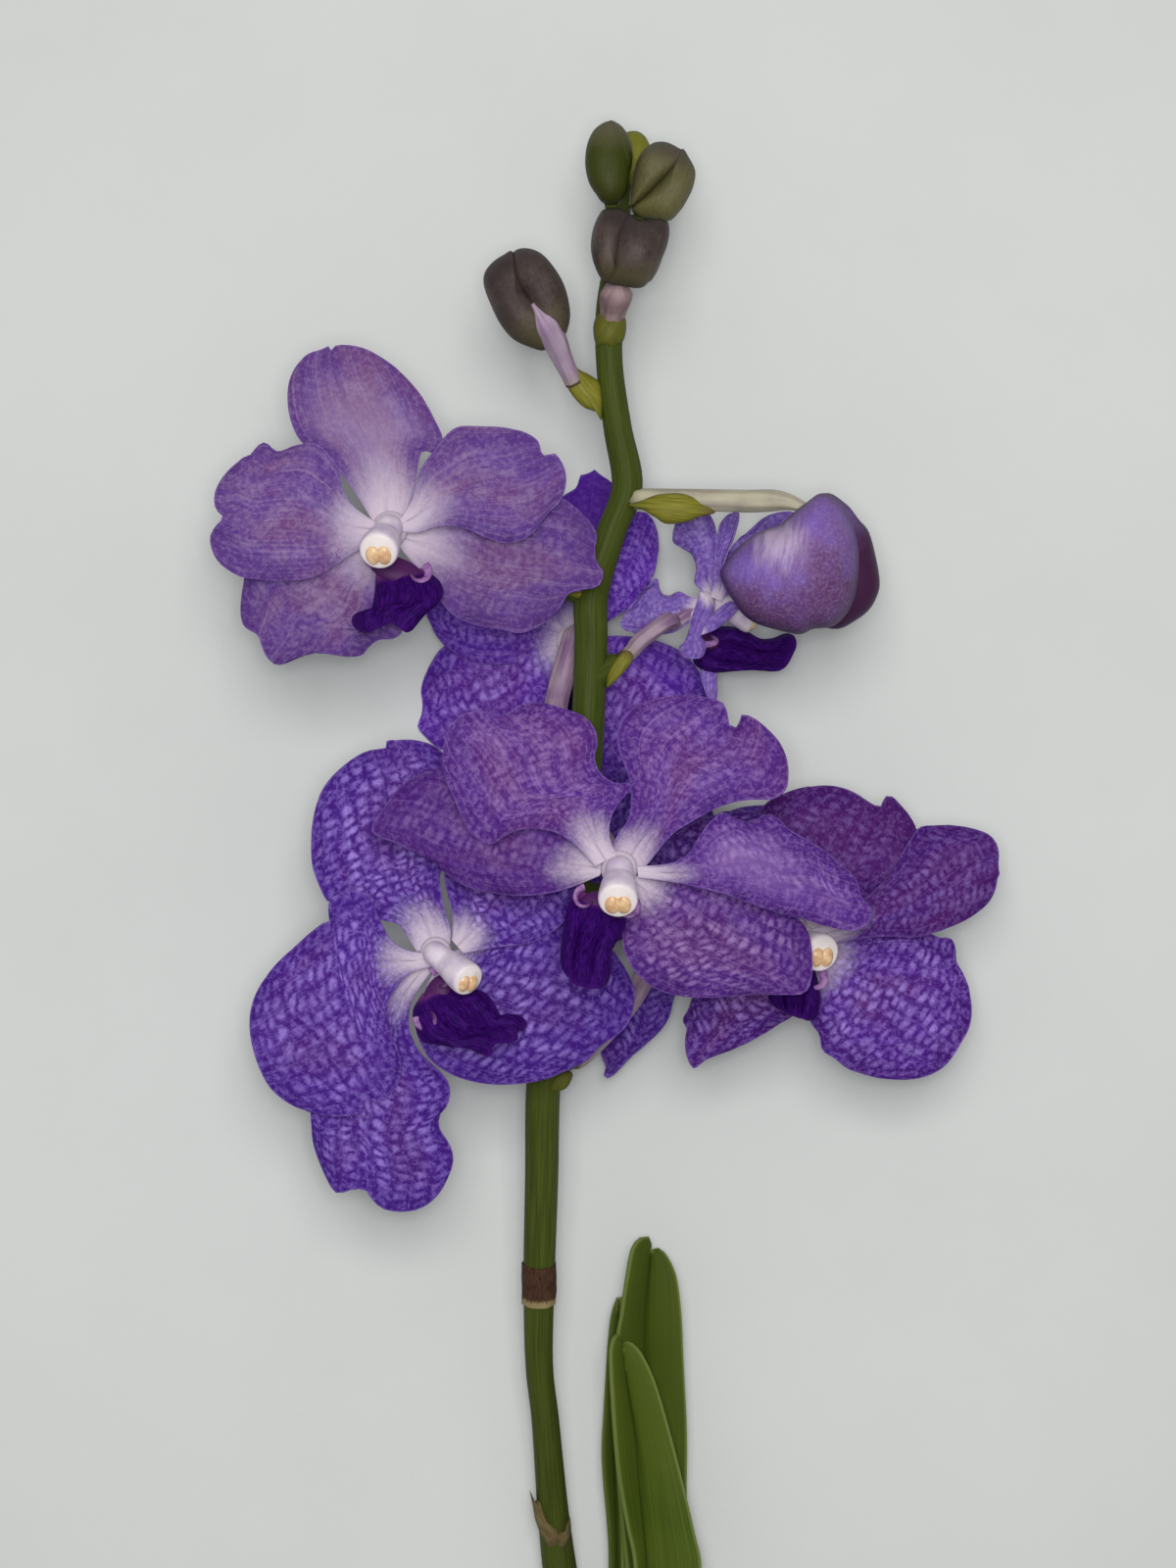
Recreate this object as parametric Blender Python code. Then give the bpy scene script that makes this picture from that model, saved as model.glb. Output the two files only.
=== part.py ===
# A cut flowering shoot of a blue vanda orchid, lying on its back on a flat surface.
#
# Places are given in the sheet: the plane of the flower stem, seen square on from
# VIEW_DISTANCE in front of it. X runs to the right, Y towards the stem's tip and Z
# towards the viewer, all in millimetres. A point nearer to the viewer than the sheet
# is drawn in towards the line of sight, so that it shows where its X and Y say.
import bpy
import bmesh
from dataclasses import dataclass, field
from math import atan2, cos, exp, pi, radians, sin, sqrt
from mathutils import Matrix, Vector

MM = 0.001
VIEW_DISTANCE = 750.0
SURFACE = -42.0                      # the height that the shoot lies on
SHEET_TO_PART = Vector((-5.1, 45.5, -SURFACE))
GAP = 0.3                            # kept between neighbouring pieces

BLADE = 0.9                          # thickness of a petal
TEPAL_ROWS = 6
TEPAL_COLUMNS = 6
HIDDEN_COLUMNS = 4                   # on flowers that show little of their face
HUB_RADIUS = 4.0                     # where the petals of a flower meet
HUB_BACK = -3.0
HUB_FRONT = 2.4
COLUMN_FOOT = 3.3                    # clear of the petals' claws
COLUMN_RADIUS = 4.2
PEDICEL_RADIUS = 1.9
STUB_RADIUS = 2.5
STUB_LENGTH = 6.5
STALK_START = STUB_LENGTH + 1.8

VIOLET = (0.105, 0.055, 0.30)
PALE_VIOLET = (0.20, 0.12, 0.33)
LIP_VIOLET = (0.030, 0.004, 0.11)
WHITE = (0.62, 0.55, 0.66)
PINK = (0.42, 0.34, 0.37)
STEM_GREEN = (0.055, 0.115, 0.018)
LEAF_GREEN = (0.045, 0.11, 0.012)
BUD_PURPLE = (0.085, 0.055, 0.050)
BUD_GREEN = (0.095, 0.105, 0.025)
STRAW = (0.30, 0.22, 0.11)


@dataclass
class Tepal:
    """One petal or sepal, in its flower's own plane."""
    angle: float                     # where its tip points, in degrees clockwise from up
    length: float
    left: float                      # widest half widths, seen with the tip up
    right: float
    height: float = 0.0              # how far it lies in front of the flower's plane
    rise: float = 0.0                # how far the tip comes forward
    bend: float = 3.0                # how far the tip curls back from there
    cup: float = -2.0                # how far both edges stand forward
    sweep: float = 0.0               # sideways bend, in degrees at the tip
    widest: float = 0.6
    claw: float = 0.16               # base width as a part of the widest
    neck: float = 1.7                # how long the claw stays narrow
    blunt: float = 0.42              # how far the shoulders fall behind the tip
    wave: float = 1.3
    waves: int = 5
    phase: float = 0.0
    lobe: float = 0.02
    notch: float = 0.0
    notch_at: float = 0.0


@dataclass
class Flower:
    """An open flower; away is -1 where it faces the surface."""
    centre: tuple
    column: tuple                    # from the column's foot to its cap
    lip_foot: tuple                  # from the flower's centre
    lip: tuple                       # from the lip's foot to its tip
    lip_width: float
    node: tuple                      # where its stalk leaves the stem
    stub: tuple                      # which way the stalk sets out
    through: list                    # points that the stalk passes
    tepals: list = field(default_factory=list)
    away: int = 1
    turn: tuple = (0.0, 0.0, 0.0)    # the flower turned about X, then Y, then Z, in degrees
    lip_up: tuple = (0.0, 0.0, 1.0)  # the side of the lip that bears the keels
    tint: tuple = VIOLET
    columns: int = TEPAL_COLUMNS


STEM_PATH = [
    (-2.0, -202.0, -33.0), (-4.6, -188.0, -33.5), (-6.4, -176.0, -32.5), (-7.6, -162.0, -29.0),
    (-9.6, -143.0, -24.5), (-11.0, -130.0, -21.0), (-11.0, -111.0, -16.0), (-10.4, -88.0, -10.5),
    (-9.9, -66.0, -5.0), (-7.0, -44.0, -1.5), (-3.6, -22.0, 0.0), (-0.9, 0.0, 0.0),
    (0.0, 13.0, 0.0), (0.7, 32.0, 0.0), (0.9, 43.0, 0.0), (5.4, 57.0, 0.0), (8.8, 67.0, 0.0),
    (6.6, 80.0, 0.5), (4.8, 94.0, 1.0), (4.8, 106.0, 1.0), (5.8, 117.0, -1.5), (6.6, 125.0, -2.0),
]
STEM_RADII = [4.4, 4.2, 4.0, 3.7, 3.4, 3.3, 3.8, 4.0, 4.0, 3.9, 3.8, 3.7,
              3.7, 3.7, 3.8, 3.3, 3.5, 3.2, 3.0, 3.1, 2.3, 1.9]

FLOWERS = {
    "flower_a": Flower(
        centre=(-44.4, 57.2, 20.0), column=(-1.8, -5.9, 10.5), lip_foot=(1.5, -8.6, 3.6), lip=(-4.4, -13.5, 5.0),
        lip_width=8.5,
        node=(0.8, 42.0, 0.0), stub=(-0.85, 0.25, -0.25), through=[(-24.0, 49.0, -4.0)], tint=PALE_VIOLET,
        tepals=[
            Tepal(-17, 43, 16.0, 17.0, rise=1, bend=5, cup=-1.5, widest=0.62, phase=0.6, wave=0.9, neck=2.0),
            Tepal(-86, 40.0, 14.0, 17.5, height=2.2, bend=5, cup=-2, widest=0.5, waves=7, phase=1.2,
                  wave=1.0, lobe=0.03),
            Tepal(73, 41, 17.5, 11.0, height=2.2, rise=2, bend=5, cup=-1.5, widest=0.55, waves=6, phase=2.0,
                  wave=1.0),
            Tepal(-136, 38.0, 17.0, 12.0, height=-0.6, bend=7, cup=-3, widest=0.52, waves=6, phase=0.3,
                  lobe=0.03, blunt=0.34),
            Tepal(104, 48.5, 15.5, 14.0, height=-0.6, rise=-1, bend=7, cup=-2, widest=0.6, waves=6, phase=1.0),
        ]),
    "flower_b": Flower(
        centre=(-3.3, 31.9, -19.5), column=(0.5, -2.0, -10.5), lip_foot=(0.0, -6.4, -6.4), lip=(0.0, -11.0, -7.0),
        lip_width=8.0,
        node=(-0.3, 8.0, 0.0), stub=(-0.55, 0.35, -0.75), through=[(-7.2, 17.5, -10.0)], away=-1,
        lip_up=(0.0, 0.0, -1.0), columns=HIDDEN_COLUMNS,
        tepals=[
            Tepal(5, 38, 12.0, 12.0, rise=12, bend=-13, cup=2, phase=0.4),
            Tepal(36, 32, 8.0, 6.5, height=2.0, rise=4, bend=-4, cup=1.5, phase=1.0),
            Tepal(-78, 33, 9.0, 12.0, height=2.0, rise=6, bend=-3, cup=1, phase=2.0),
            Tepal(-113, 37.5, 17.0, 12.0, rise=11, bend=-13, cup=2, waves=6, phase=0.0, lobe=0.03),
            Tepal(124, 34, 11.5, 14.0, rise=8, bend=-7, cup=2, waves=6, phase=1.5),
        ]),
    "flower_c": Flower(
        centre=(26.0, 40.5, -8.0), column=(10.3, -2.5, -2.5), lip_foot=(3.6, -8.5, -1.5), lip=(17.5, -2.5, -2.5),
        lip_width=6.5, lip_up=(0.0, 1.0, 0.35),
        node=(1.2, 24.0, 0.0), stub=(0.75, 0.5, -0.1), through=[(15.0, 33.5, -3.0)],
        turn=(0.0, 108.0, 0.0), tint=PALE_VIOLET, columns=HIDDEN_COLUMNS,
        tepals=[
            Tepal(-8, 25, 7.0, 7.0, rise=0, bend=7, cup=-2, waves=5, wave=1.4, phase=0.0, lobe=0.04),
            Tepal(86, 38, 9.0, 9.0, height=2.0, rise=2, bend=4, cup=-2, waves=5, wave=1.2, phase=1.0, lobe=0.04),
            Tepal(-78, 27, 10.0, 10.0, height=2.0, rise=-1, bend=5, cup=-2, waves=5, wave=1.4, phase=2.0),
            Tepal(-146, 26, 8.0, 8.0, height=-0.6, rise=-1, bend=3, cup=-2, waves=5, wave=1.2, phase=3.0),
            Tepal(150, 27, 8.0, 8.0, height=-0.6, rise=-1, bend=3, cup=-2, waves=5, wave=1.2, phase=4.0),
        ]),
    "flower_e": Flower(
        centre=(7.0, -19.0, 33.0), column=(-0.4, -6.6, 10.5), lip_foot=(-3.0, -7.6, 3.6), lip=(-4.0, -19.5, 4.0),
        lip_width=7.5,
        node=(0.0, 12.0, 0.0), stub=(0.35, -0.15, 0.9), through=[(4.5, 2.0, 14.0)],
        tepals=[
            Tepal(33, 46, 18.0, 23.0, rise=2, bend=7, cup=-2, widest=0.74, neck=1.9, waves=6, phase=0.5,
                  wave=1.0, notch=4.0, notch_at=0.15),
            Tepal(-45, 50, 17.5, 19.5, height=2.2, rise=1, bend=6, cup=-1.5, widest=0.52, waves=6, phase=1.4,
                  wave=1.1, blunt=0.36),
            Tepal(96, 57, 14.5, 8.0, height=2.2, rise=4, bend=10, cup=-2, sweep=5, widest=0.6, phase=0.2),
            Tepal(-78.6, 56, 10.5, 15.0, height=-0.6, rise=0, bend=9, cup=-1.5, widest=0.66, phase=2.2),
            Tepal(122, 49, 15.0, 17.5, height=-0.6, rise=0, bend=8, cup=-2, widest=0.48, waves=6, phase=1.1),
        ]),
    "flower_f": Flower(
        centre=(-34.1, -37.8, 17.0), column=(7.7, -5.5, 9.0), lip_foot=(-0.5, -10.2, 4.0), lip=(19.0, -6.5, 3.0),
        lip_width=7.5,
        node=(-8.6, -53.0, -3.0), stub=(-0.85, 0.3, 0.2), through=[(-24.0, -45.0, 3.0)],
        tepals=[
            Tepal(-17, 48, 20.5, 17.0, rise=0, bend=7, cup=-2, widest=0.55, waves=6, phase=0.0, neck=1.9),
            Tepal(-121, 47, 21.0, 18.5, height=2.2, rise=1, bend=8, cup=-2.5, widest=0.48, waves=6, phase=1.0,
                  wave=1.1, blunt=0.38),
            Tepal(55, 42, 15.0, 15.0, height=2.2, rise=-2, bend=6, cup=-1.5, phase=2.0, wave=1.0),
            Tepal(-164, 59, 15.5, 16.5, height=-0.6, bend=10, cup=-2.5, widest=0.74, claw=0.14, waves=7,
                  phase=0.6, lobe=0.03, blunt=0.32),
            Tepal(115, 46, 18.8, 21.0, height=-0.6, rise=-1, bend=7, cup=-2, widest=0.5, waves=6, phase=1.7),
        ]),
    "flower_g": Flower(
        centre=(47.3, -35.2, 3.0), column=(4.4, -2.2, 9.0), lip_foot=(-0.5, -7.6, 3.6), lip=(-3.0, -11.0, 3.0),
        lip_width=6.5,
        node=(-3.9, -24.0, 0.0), stub=(0.9, -0.1, -0.35), through=[(16.0, -21.5, -5.0), (36.0, -31.0, -7.5)],
        tepals=[
            Tepal(19, 37, 19.5, 19.0, bend=6, cup=-2, widest=0.52, waves=6, phase=0.2, notch=2.0, notch_at=0.3),
            Tepal(68, 48.5, 14.0, 9.5, height=2.2, bend=8, cup=-1.5, widest=0.62, phase=1.2, wave=1.0),
            Tepal(-45, 32, 13.0, 13.0, height=2.2, bend=5, cup=-1.5, phase=0.4, wave=1.0),
            Tepal(128, 45, 20.5, 15.5, height=-0.6, bend=7, cup=-3, widest=0.52, waves=7, phase=2.4, lobe=0.03),
            Tepal(-139, 37, 7.0, 13.0, height=-0.6, bend=6, cup=-2, widest=0.55, phase=0.8, blunt=0.5),
        ]),
    "flower_h": Flower(
        centre=(19.8, -28.6, -19.5), column=(0.5, -2.0, -10.5), lip_foot=(0.0, -6.4, -6.6), lip=(1.0, -10.5, -7.5),
        lip_width=7.5,
        node=(-9.4, -64.0, -4.6), stub=(0.8, 0.3, -0.4), through=[(10.0, -48.0, -14.0)], away=-1,
        lip_up=(0.0, 0.0, -1.0), columns=HIDDEN_COLUMNS,
        tepals=[
            Tepal(-157, 41, 7.0, 7.0, rise=4, bend=-6, cup=1, phase=0.4, blunt=0.6),
            Tepal(-82, 33, 12.0, 12.0, height=2.0, rise=6, bend=-6, cup=2, phase=1.0),
            Tepal(-12, 34, 13.0, 13.0, rise=6, bend=-7, cup=2, phase=2.0),
            Tepal(56, 36, 12.0, 12.0, height=1.0, rise=10, bend=-12, cup=2, phase=0.0),
            Tepal(126, 33, 11.0, 11.0, rise=8, bend=-9, cup=2, phase=1.5),
        ]),
}


@dataclass
class Bud:
    """A closed bud: its foot, its tip and its widest radius."""
    foot: tuple
    tip: tuple
    radius: float
    grooves: int = 3
    depth: float = 0.10
    facing: float = 0.0              # where the first groove lies, in degrees
    fullest: float = 0.5
    tint: tuple = BUD_PURPLE


BUDS = {
    "opening_bud": Bud((54.5, 65.0, 12.0), (44.5, 32.4, 13.0), 18.0, grooves=3, depth=0.05,
                       facing=60.0, fullest=0.5, tint=PALE_VIOLET),
    "bud_1": Bud((-6.6, 99.5, 6.0), (-20.8, 119.8, 8.0), 9.3, grooves=3, depth=0.08, facing=90.0),
    "bud_2": Bud((7.8, 111.6, 11.5), (9.9, 129.6, 12.0), 9.1, grooves=4, depth=0.07, facing=20.0, fullest=0.55),
    "bud_3": Bud((12.6, 127.0, 1.0), (21.2, 143.8, 2.0), 7.3, grooves=4, depth=0.08, facing=60.0),
    "bud_4": Bud((4.8, 130.2, 3.5), (4.4, 148.7, 3.0), 5.8, grooves=3, depth=0.06, facing=60.0,
                 tint=BUD_GREEN),
    "bud_5": Bud((9.6, 133.4, -9.5), (11.2, 147.2, -9.5), 4.3, grooves=3, depth=0.06, tint=BUD_GREEN),
}

BUD_STALKS = {
    "opening_bud_pedicel": [(24.0, 63.2, 3.0), (34.0, 65.0, 6.0), (43.5, 67.0, 9.3), (50.4, 68.0, 11.4)],
    "bud_1_pedicel": [(-3.7, 91.2, 4.0), (-5.3, 95.0, 4.9), (-6.7, 98.5, 5.7)],
    "bud_2_pedicel": [(5.6, 107.4, 5.2), (6.2, 108.6, 7.0), (7.0, 110.0, 9.2)],
}


@dataclass
class Leaf:
    """A strap folded along its middle, with a blunt tip of two lobes."""
    fold: list                       # points along the fold, from foot to tip
    left: list                       # half widths along it, and which way that half stands
    left_way: tuple
    right: list
    right_way: tuple


LEAVES = {
    "leaf_1": Leaf([(15.4, -191.0, -35.0), (15.4, -176.0, -34.5), (13.6, -150.0, -33.5), (13.0, -125.0, -32.0),
                    (13.8, -105.5, -30.0)],
                   [8.0, 8.5, 9.0, 9.0, 5.6], (-0.60, 0.0, 0.80),
                   [8.0, 8.0, 9.3, 8.4, 3.8], (0.97, 0.0, 0.22)),
    "leaf_2": Leaf([(13.2, -194.0, -24.0), (13.8, -176.0, -24.5), (11.4, -160.0, -24.5), (9.2, -143.0, -24.0),
                    (7.8, -126.5, -23.5)],
                   [8.0, 8.5, 8.0, 7.0, 5.0], (-0.42, 0.0, 0.90),
                   [9.0, 12.0, 11.5, 10.0, 6.0], (0.95, 0.0, 0.30)),
    "leaf_3": Leaf([(5.6, -186.0, -35.5), (5.6, -176.0, -35.0), (5.2, -155.0, -34.0), (5.8, -135.0, -33.0),
                    (6.8, -117.5, -31.5)],
                   [3.4, 3.8, 4.0, 3.4, 1.8], (-0.80, 0.0, 0.60),
                   [4.0, 4.2, 4.2, 3.8, 2.0], (0.25, 0.0, 0.95)),
}

LEAF_FEET = {
    "leaf_1": (12.0, -208.0, -33.0),
    "leaf_2": (10.0, -208.0, -28.5),
    "leaf_3": (5.0, -204.0, -34.0),
}
TIP_BUDS = ("bud_3", "bud_4", "bud_5")

BRACTS = {                           # foot, way, length and radius
    "bract_a": ((-1.0, 42.6, 1.0), (-0.9, 0.1, 0.2), 4.6, 2.5),
    "bract_c": ((3.4, 21.5, 1.5), (0.60, 0.72, 0.28), 9.5, 2.2),
    "bract_h": ((-8.0, -66.8, -3.0), (0.80, 0.30, 0.25), 4.8, 2.3),
    "bract_opening_bud": ((9.6, 64.4, 1.0), (0.98, -0.06, 0.17), 13.2, 3.2),
    "bract_bud_1": ((3.5, 82.0, 0.6), (-0.62, 0.74, 0.30), 10.6, 2.9),
    "bract_bud_2": ((4.8, 96.0, 1.4), (0.05, 0.98, 0.16), 10.0, 3.9),
}
BAND_PATH = [(-11.0, -107.0, -16.4), (-11.0, -111.5, -17.7), (-11.0, -116.0, -19.0)]
BAND_RADII = [4.0, 4.25, 4.1]
SHOOT_FOOT_PATH = [(9.0, -240.0, -34.6), (9.0, -226.0, -34.6), (7.5, -212.0, -34.6), (2.5, -203.0, -34.5)]
SHOOT_FOOT_RADII = [8.6, 9.0, 8.4, 5.0]
BASAL_BRACT_PATH = [(-11.8, -160.5, -32.0), (-12.6, -163.5, -33.2), (-12.2, -170.0, -35.2)]
BASAL_BRACT_RADII = [0.7, 1.0, 0.8]


def seen(point):
    """The point at its own height that shows at its X and Y in the sheet."""
    x, y, z = point
    nearer = (VIEW_DISTANCE - z) / VIEW_DISTANCE
    return Vector((x * nearer, y * nearer, z))


def placed(point):
    """A point of the sheet's space, in the part's own frame and in metres."""
    return (Vector(point) + SHEET_TO_PART) * MM


def smooth(values, u):
    """A smooth curve through values at u from 0 to 1; numbers or vectors."""
    last = len(values) - 1
    place = min(max(u, 0.0), 1.0) * last
    i = min(int(place), last - 1)
    f = place - i
    a = values[max(i - 1, 0)]
    b = values[i]
    c = values[i + 1]
    d = values[min(i + 2, last)]
    return 0.5 * (2 * b + (c - a) * f + (2 * a - 5 * b + 4 * c - d) * f ** 2
                  + (3 * b - a - 3 * c + d) * f ** 3)


def ease(low, high, x):
    f = min(max((x - low) / (high - low), 0.0), 1.0)
    return f * f * (3.0 - 2.0 * f)


def material(name, colour, roughness=0.5):
    surface = bpy.data.materials.new(name)
    surface.use_nodes = True
    shader = surface.node_tree.nodes["Principled BSDF"]
    shader.inputs["Base Color"].default_value = (*colour, 1.0)
    shader.inputs["Roughness"].default_value = roughness
    shader.inputs["Metallic"].default_value = 0.0
    return surface


def new_object(name, bm, surface):
    bmesh.ops.recalc_face_normals(bm, faces=bm.faces)
    mesh = bpy.data.meshes.new(name)
    bm.to_mesh(mesh)
    bm.free()
    mesh.materials.append(surface)
    mesh.shade_smooth()
    mesh.set_sharp_from_angle(angle=radians(50.0))
    piece = bpy.data.objects.new(name, mesh)
    bpy.context.scene.collection.objects.link(piece)
    return piece


def keep_largest_body(mesh):
    """Fills hollows that the joining sealed and drops loose scraps."""
    bm = bmesh.new()
    bm.from_mesh(mesh)
    bodies = []
    waiting = set(bm.verts)
    while waiting:
        body = set()
        edge = [waiting.pop()]
        while edge:
            vert = edge.pop()
            body.add(vert)
            for link in vert.link_edges:
                other = link.other_vert(vert)
                if other in waiting:
                    waiting.discard(other)
                    edge.append(other)
        bodies.append(body)
    bodies.sort(key=len, reverse=True)
    for body in bodies[1:]:
        bmesh.ops.delete(bm, geom=list(body), context="VERTS")
    bm.to_mesh(mesh)
    bm.free()


def union(name, pieces):
    """Joins the pieces into the first of them, as one closed body."""
    whole = pieces[0]
    rest = bpy.data.collections.new(name + "_rest")
    for piece in pieces[1:]:
        bpy.context.scene.collection.objects.unlink(piece)
        rest.objects.link(piece)
    bpy.context.scene.collection.children.link(rest)
    join = whole.modifiers.new("join", "BOOLEAN")
    join.operation = "UNION"
    join.operand_type = "COLLECTION"
    join.collection = rest
    join.solver = "MANIFOLD"
    bpy.context.view_layer.update()
    graph = bpy.context.evaluated_depsgraph_get()
    joined = bpy.data.meshes.new_from_object(whole.evaluated_get(graph))
    whole.modifiers.clear()
    whole.data = joined
    for piece in pieces[1:]:
        bpy.data.objects.remove(piece)
    bpy.data.collections.remove(rest)
    keep_largest_body(joined)
    whole.name = name
    joined.name = name
    return whole


def blade(name, point, surface, rows, columns, thickness=BLADE):
    """A thin closed sheet about the surface point(s, c), with both faces split alike."""
    across = [sin(0.5 * pi * (2.0 * j / columns - 1.0)) for j in range(columns + 1)]
    middle = [[seen(point(i / rows, c)) for c in across] for i in range(rows + 1)]
    bm = bmesh.new()
    faces = []
    for side in (0.5, -0.5):
        face = []
        for i in range(rows + 1):
            line = []
            for j in range(columns + 1):
                along = middle[min(i + 1, rows)][j] - middle[max(i - 1, 0)][j]
                over = middle[i][min(j + 1, columns)] - middle[i][max(j - 1, 0)]
                normal = over.cross(along).normalized()
                spot = middle[i][j] + normal * side * thickness
                lowest = SURFACE if side * normal.z < 0 else SURFACE + thickness
                spot.z = max(spot.z, lowest)
                line.append(bm.verts.new(placed(spot)))
            face.append(line)
        faces.append(face)
    front, back = faces
    for i in range(rows):
        for j in range(columns):
            for grid in faces:
                bm.faces.new((grid[i][j], grid[i][j + 1], grid[i + 1][j + 1]))
                bm.faces.new((grid[i][j], grid[i + 1][j + 1], grid[i + 1][j]))
    rim = [(i, 0) for i in range(rows)] + [(rows, j) for j in range(columns)]
    rim += [(i, columns) for i in range(rows, 0, -1)] + [(0, j) for j in range(columns, 0, -1)]
    for (i, j), (k, m) in zip(rim, rim[1:] + rim[:1]):
        bm.faces.new((front[i][j], back[i][j], back[k][m]))
        bm.faces.new((front[i][j], back[k][m], front[k][m]))
    return new_object(name, bm, surface)


def tube(name, path, radii, surface, sides=8, squash=1.0):
    """A round bar through the points of path, closed by flat ends, resting on the surface."""
    path = [Vector(p) for p in path]
    bm = bmesh.new()
    rings = []
    side = None
    for i, centre in enumerate(path):
        way = (path[min(i + 1, len(path) - 1)] - path[max(i - 1, 0)]).normalized()
        if side is None:
            side = way.orthogonal().normalized() if abs(way.y) < 0.5 else way.cross(Vector((0, 0, 1)))
        side = (side - way * side.dot(way)).normalized()
        up = side.cross(way)
        ring = []
        for k in range(sides):
            turn = 2.0 * pi * (k + 0.5) / sides
            spot = centre + (side * cos(turn) + up * sin(turn) * squash) * radii[i]
            spot.z = max(spot.z, SURFACE)
            ring.append(bm.verts.new(placed(spot)))
        rings.append(ring)
    for low, high in zip(rings, rings[1:]):
        for k in range(sides):
            bm.faces.new((low[k], low[(k + 1) % sides], high[(k + 1) % sides], high[k]))
    bm.faces.new(rings[0])
    bm.faces.new(rings[-1])
    return new_object(name, bm, surface)


def tepal_point(tepal, s, c):
    """A point of a tepal's middle surface: s from foot to tip, c from left to right edge."""
    opening = min(1.0, s / tepal.widest)
    spread = tepal.claw + (1.0 - tepal.claw) * sin(0.5 * pi * opening ** tepal.neck)
    if s > tepal.widest:
        spread -= 0.12 * ((s - tepal.widest) / (1.0 - tepal.widest)) ** 2
    side = tepal.right if c > 0 else tepal.left
    x = c * spread * side
    along = s - tepal.blunt * s ** 3 * (1.0 - sqrt(1.0 - (0.97 * c) ** 2))
    along -= tepal.notch / tepal.length * s ** 8 * exp(-((c - tepal.notch_at) / 0.15) ** 2)
    y = along * tepal.length
    margin = (1.0 - (1.0 - c * c) * (1.0 - s ** 4)) * ease(0.05, 0.45, s)
    about = atan2(x, y - 0.55 * tepal.length)
    ruffle = sin(tepal.waves * about + tepal.phase)
    lobing = 1.0 + tepal.lobe * margin ** 3 * sin(tepal.waves * about + tepal.phase + 1.3)
    x *= lobing
    y = 0.55 * tepal.length + (y - 0.55 * tepal.length) * lobing
    z = tepal.height + tepal.rise * along - tepal.bend * along * along
    z += tepal.cup * (c * spread) ** 2
    z += tepal.wave * margin ** 2 * ruffle
    lean = radians(tepal.sweep) * along
    x, y = x * cos(lean) + y * sin(lean), y * cos(lean) - x * sin(lean)
    turn = radians(tepal.angle)
    return Vector((x * cos(turn) + y * sin(turn), y * cos(turn) - x * sin(turn), z))


def flower_turn(flower):
    rx, ry, rz = (radians(a) for a in flower.turn)
    return Matrix.Rotation(rz, 3, "Z") @ Matrix.Rotation(ry, 3, "Y") @ Matrix.Rotation(rx, 3, "X")


def flower_axis(flower):
    """The way that the flower's plane faces."""
    return (flower_turn(flower) @ Vector((0.0, 0.0, flower.away))).normalized()


def tepals_of(name, flower):
    """The five petals and sepals, joined where their claws meet."""
    surface = material(name + "_violet", flower.tint, 0.55)
    centre = Vector(flower.centre)
    turn = flower_turn(flower)
    pieces = []
    axis = flower_axis(flower)
    heights = (HUB_BACK, 0.0, HUB_FRONT)
    hub = [seen(centre) + axis * h for h in heights]
    pieces.append(tube(name + "_hub", hub, [0.75 * HUB_RADIUS, HUB_RADIUS, 0.9 * HUB_RADIUS], surface))
    for k, tepal in enumerate(flower.tepals):
        def point(s, c, tepal=tepal):
            local = tepal_point(tepal, s, c)
            local.z *= flower.away
            return centre + turn @ local
        pieces.append(blade(f"{name}_{k}", point, surface, TEPAL_ROWS, flower.columns))
    return union(name + "_tepals", pieces)


def column_of(name, flower):
    """The short thick column, with its blunt cap."""
    surface = material(name + "_white", WHITE, 0.4)
    way = Vector(flower.column)
    foot = seen(flower.centre) + flower_axis(flower) * COLUMN_FOOT
    places = (0.34, 0.6, 0.84, 0.95, 1.0)
    radii = [COLUMN_RADIUS * r for r in (0.62, 0.72, 0.84, 0.94, 1.0, 0.84, 0.5)]
    path = [foot, foot + flower_axis(flower) * 0.14 * way.length] + [foot + way * u for u in places]
    return tube(name + "_column", path, radii, surface, sides=10)


def lip_of(name, flower):
    """The tongue below the column: a thick keeled blade with two side lobes at its foot."""
    surface = material(name + "_lip_violet", LIP_VIOLET, 0.45)
    way = Vector(flower.lip)
    out = way.normalized()
    side = out.cross(Vector(flower.lip_up)).normalized()
    up = side.cross(out)
    foot = Vector(flower.centre) + Vector(flower.lip_foot)
    length = way.length

    def point(s, c):
        wide = 0.50 + 0.50 * sin(pi * min(1.0, s * 0.95 + 0.12)) ** 0.8
        keel = 0.8 * cos(3.0 * pi * c) * ease(0.1, 0.4, s)
        height = 1.6 * sin(pi * s) - 2.6 * c * c * wide + keel
        reach = s - 0.14 * s ** 2 * c * c
        return foot + out * length * reach + side * flower.lip_width * wide * c + up * height
    return blade(name + "_lip", point, surface, 6, 6, 1.8)


def stalk_of(name, flower):
    """The flower's stalk, from the stub on the stem to the back of the hub."""
    surface = material(name + "_pink", PINK, 0.5)
    axis = flower_axis(flower)
    stub = Vector(flower.stub).normalized()
    start = seen(flower.node) + stub * STALK_START
    end = seen(flower.centre) + axis * (HUB_BACK - 2.0 * GAP)
    points = [start, start + stub * 2.5] + [seen(p) for p in flower.through]
    points += [end - axis * 6.0, end - axis * 3.0, end]
    count = 11
    path = [smooth(points, i / count) for i in range(count + 1)]
    radii = [PEDICEL_RADIUS * (1.0 + 0.35 * sin(pi * i / count)) for i in range(count + 1)]
    return tube(name + "_pedicel", path, radii, surface, sides=8)


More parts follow.
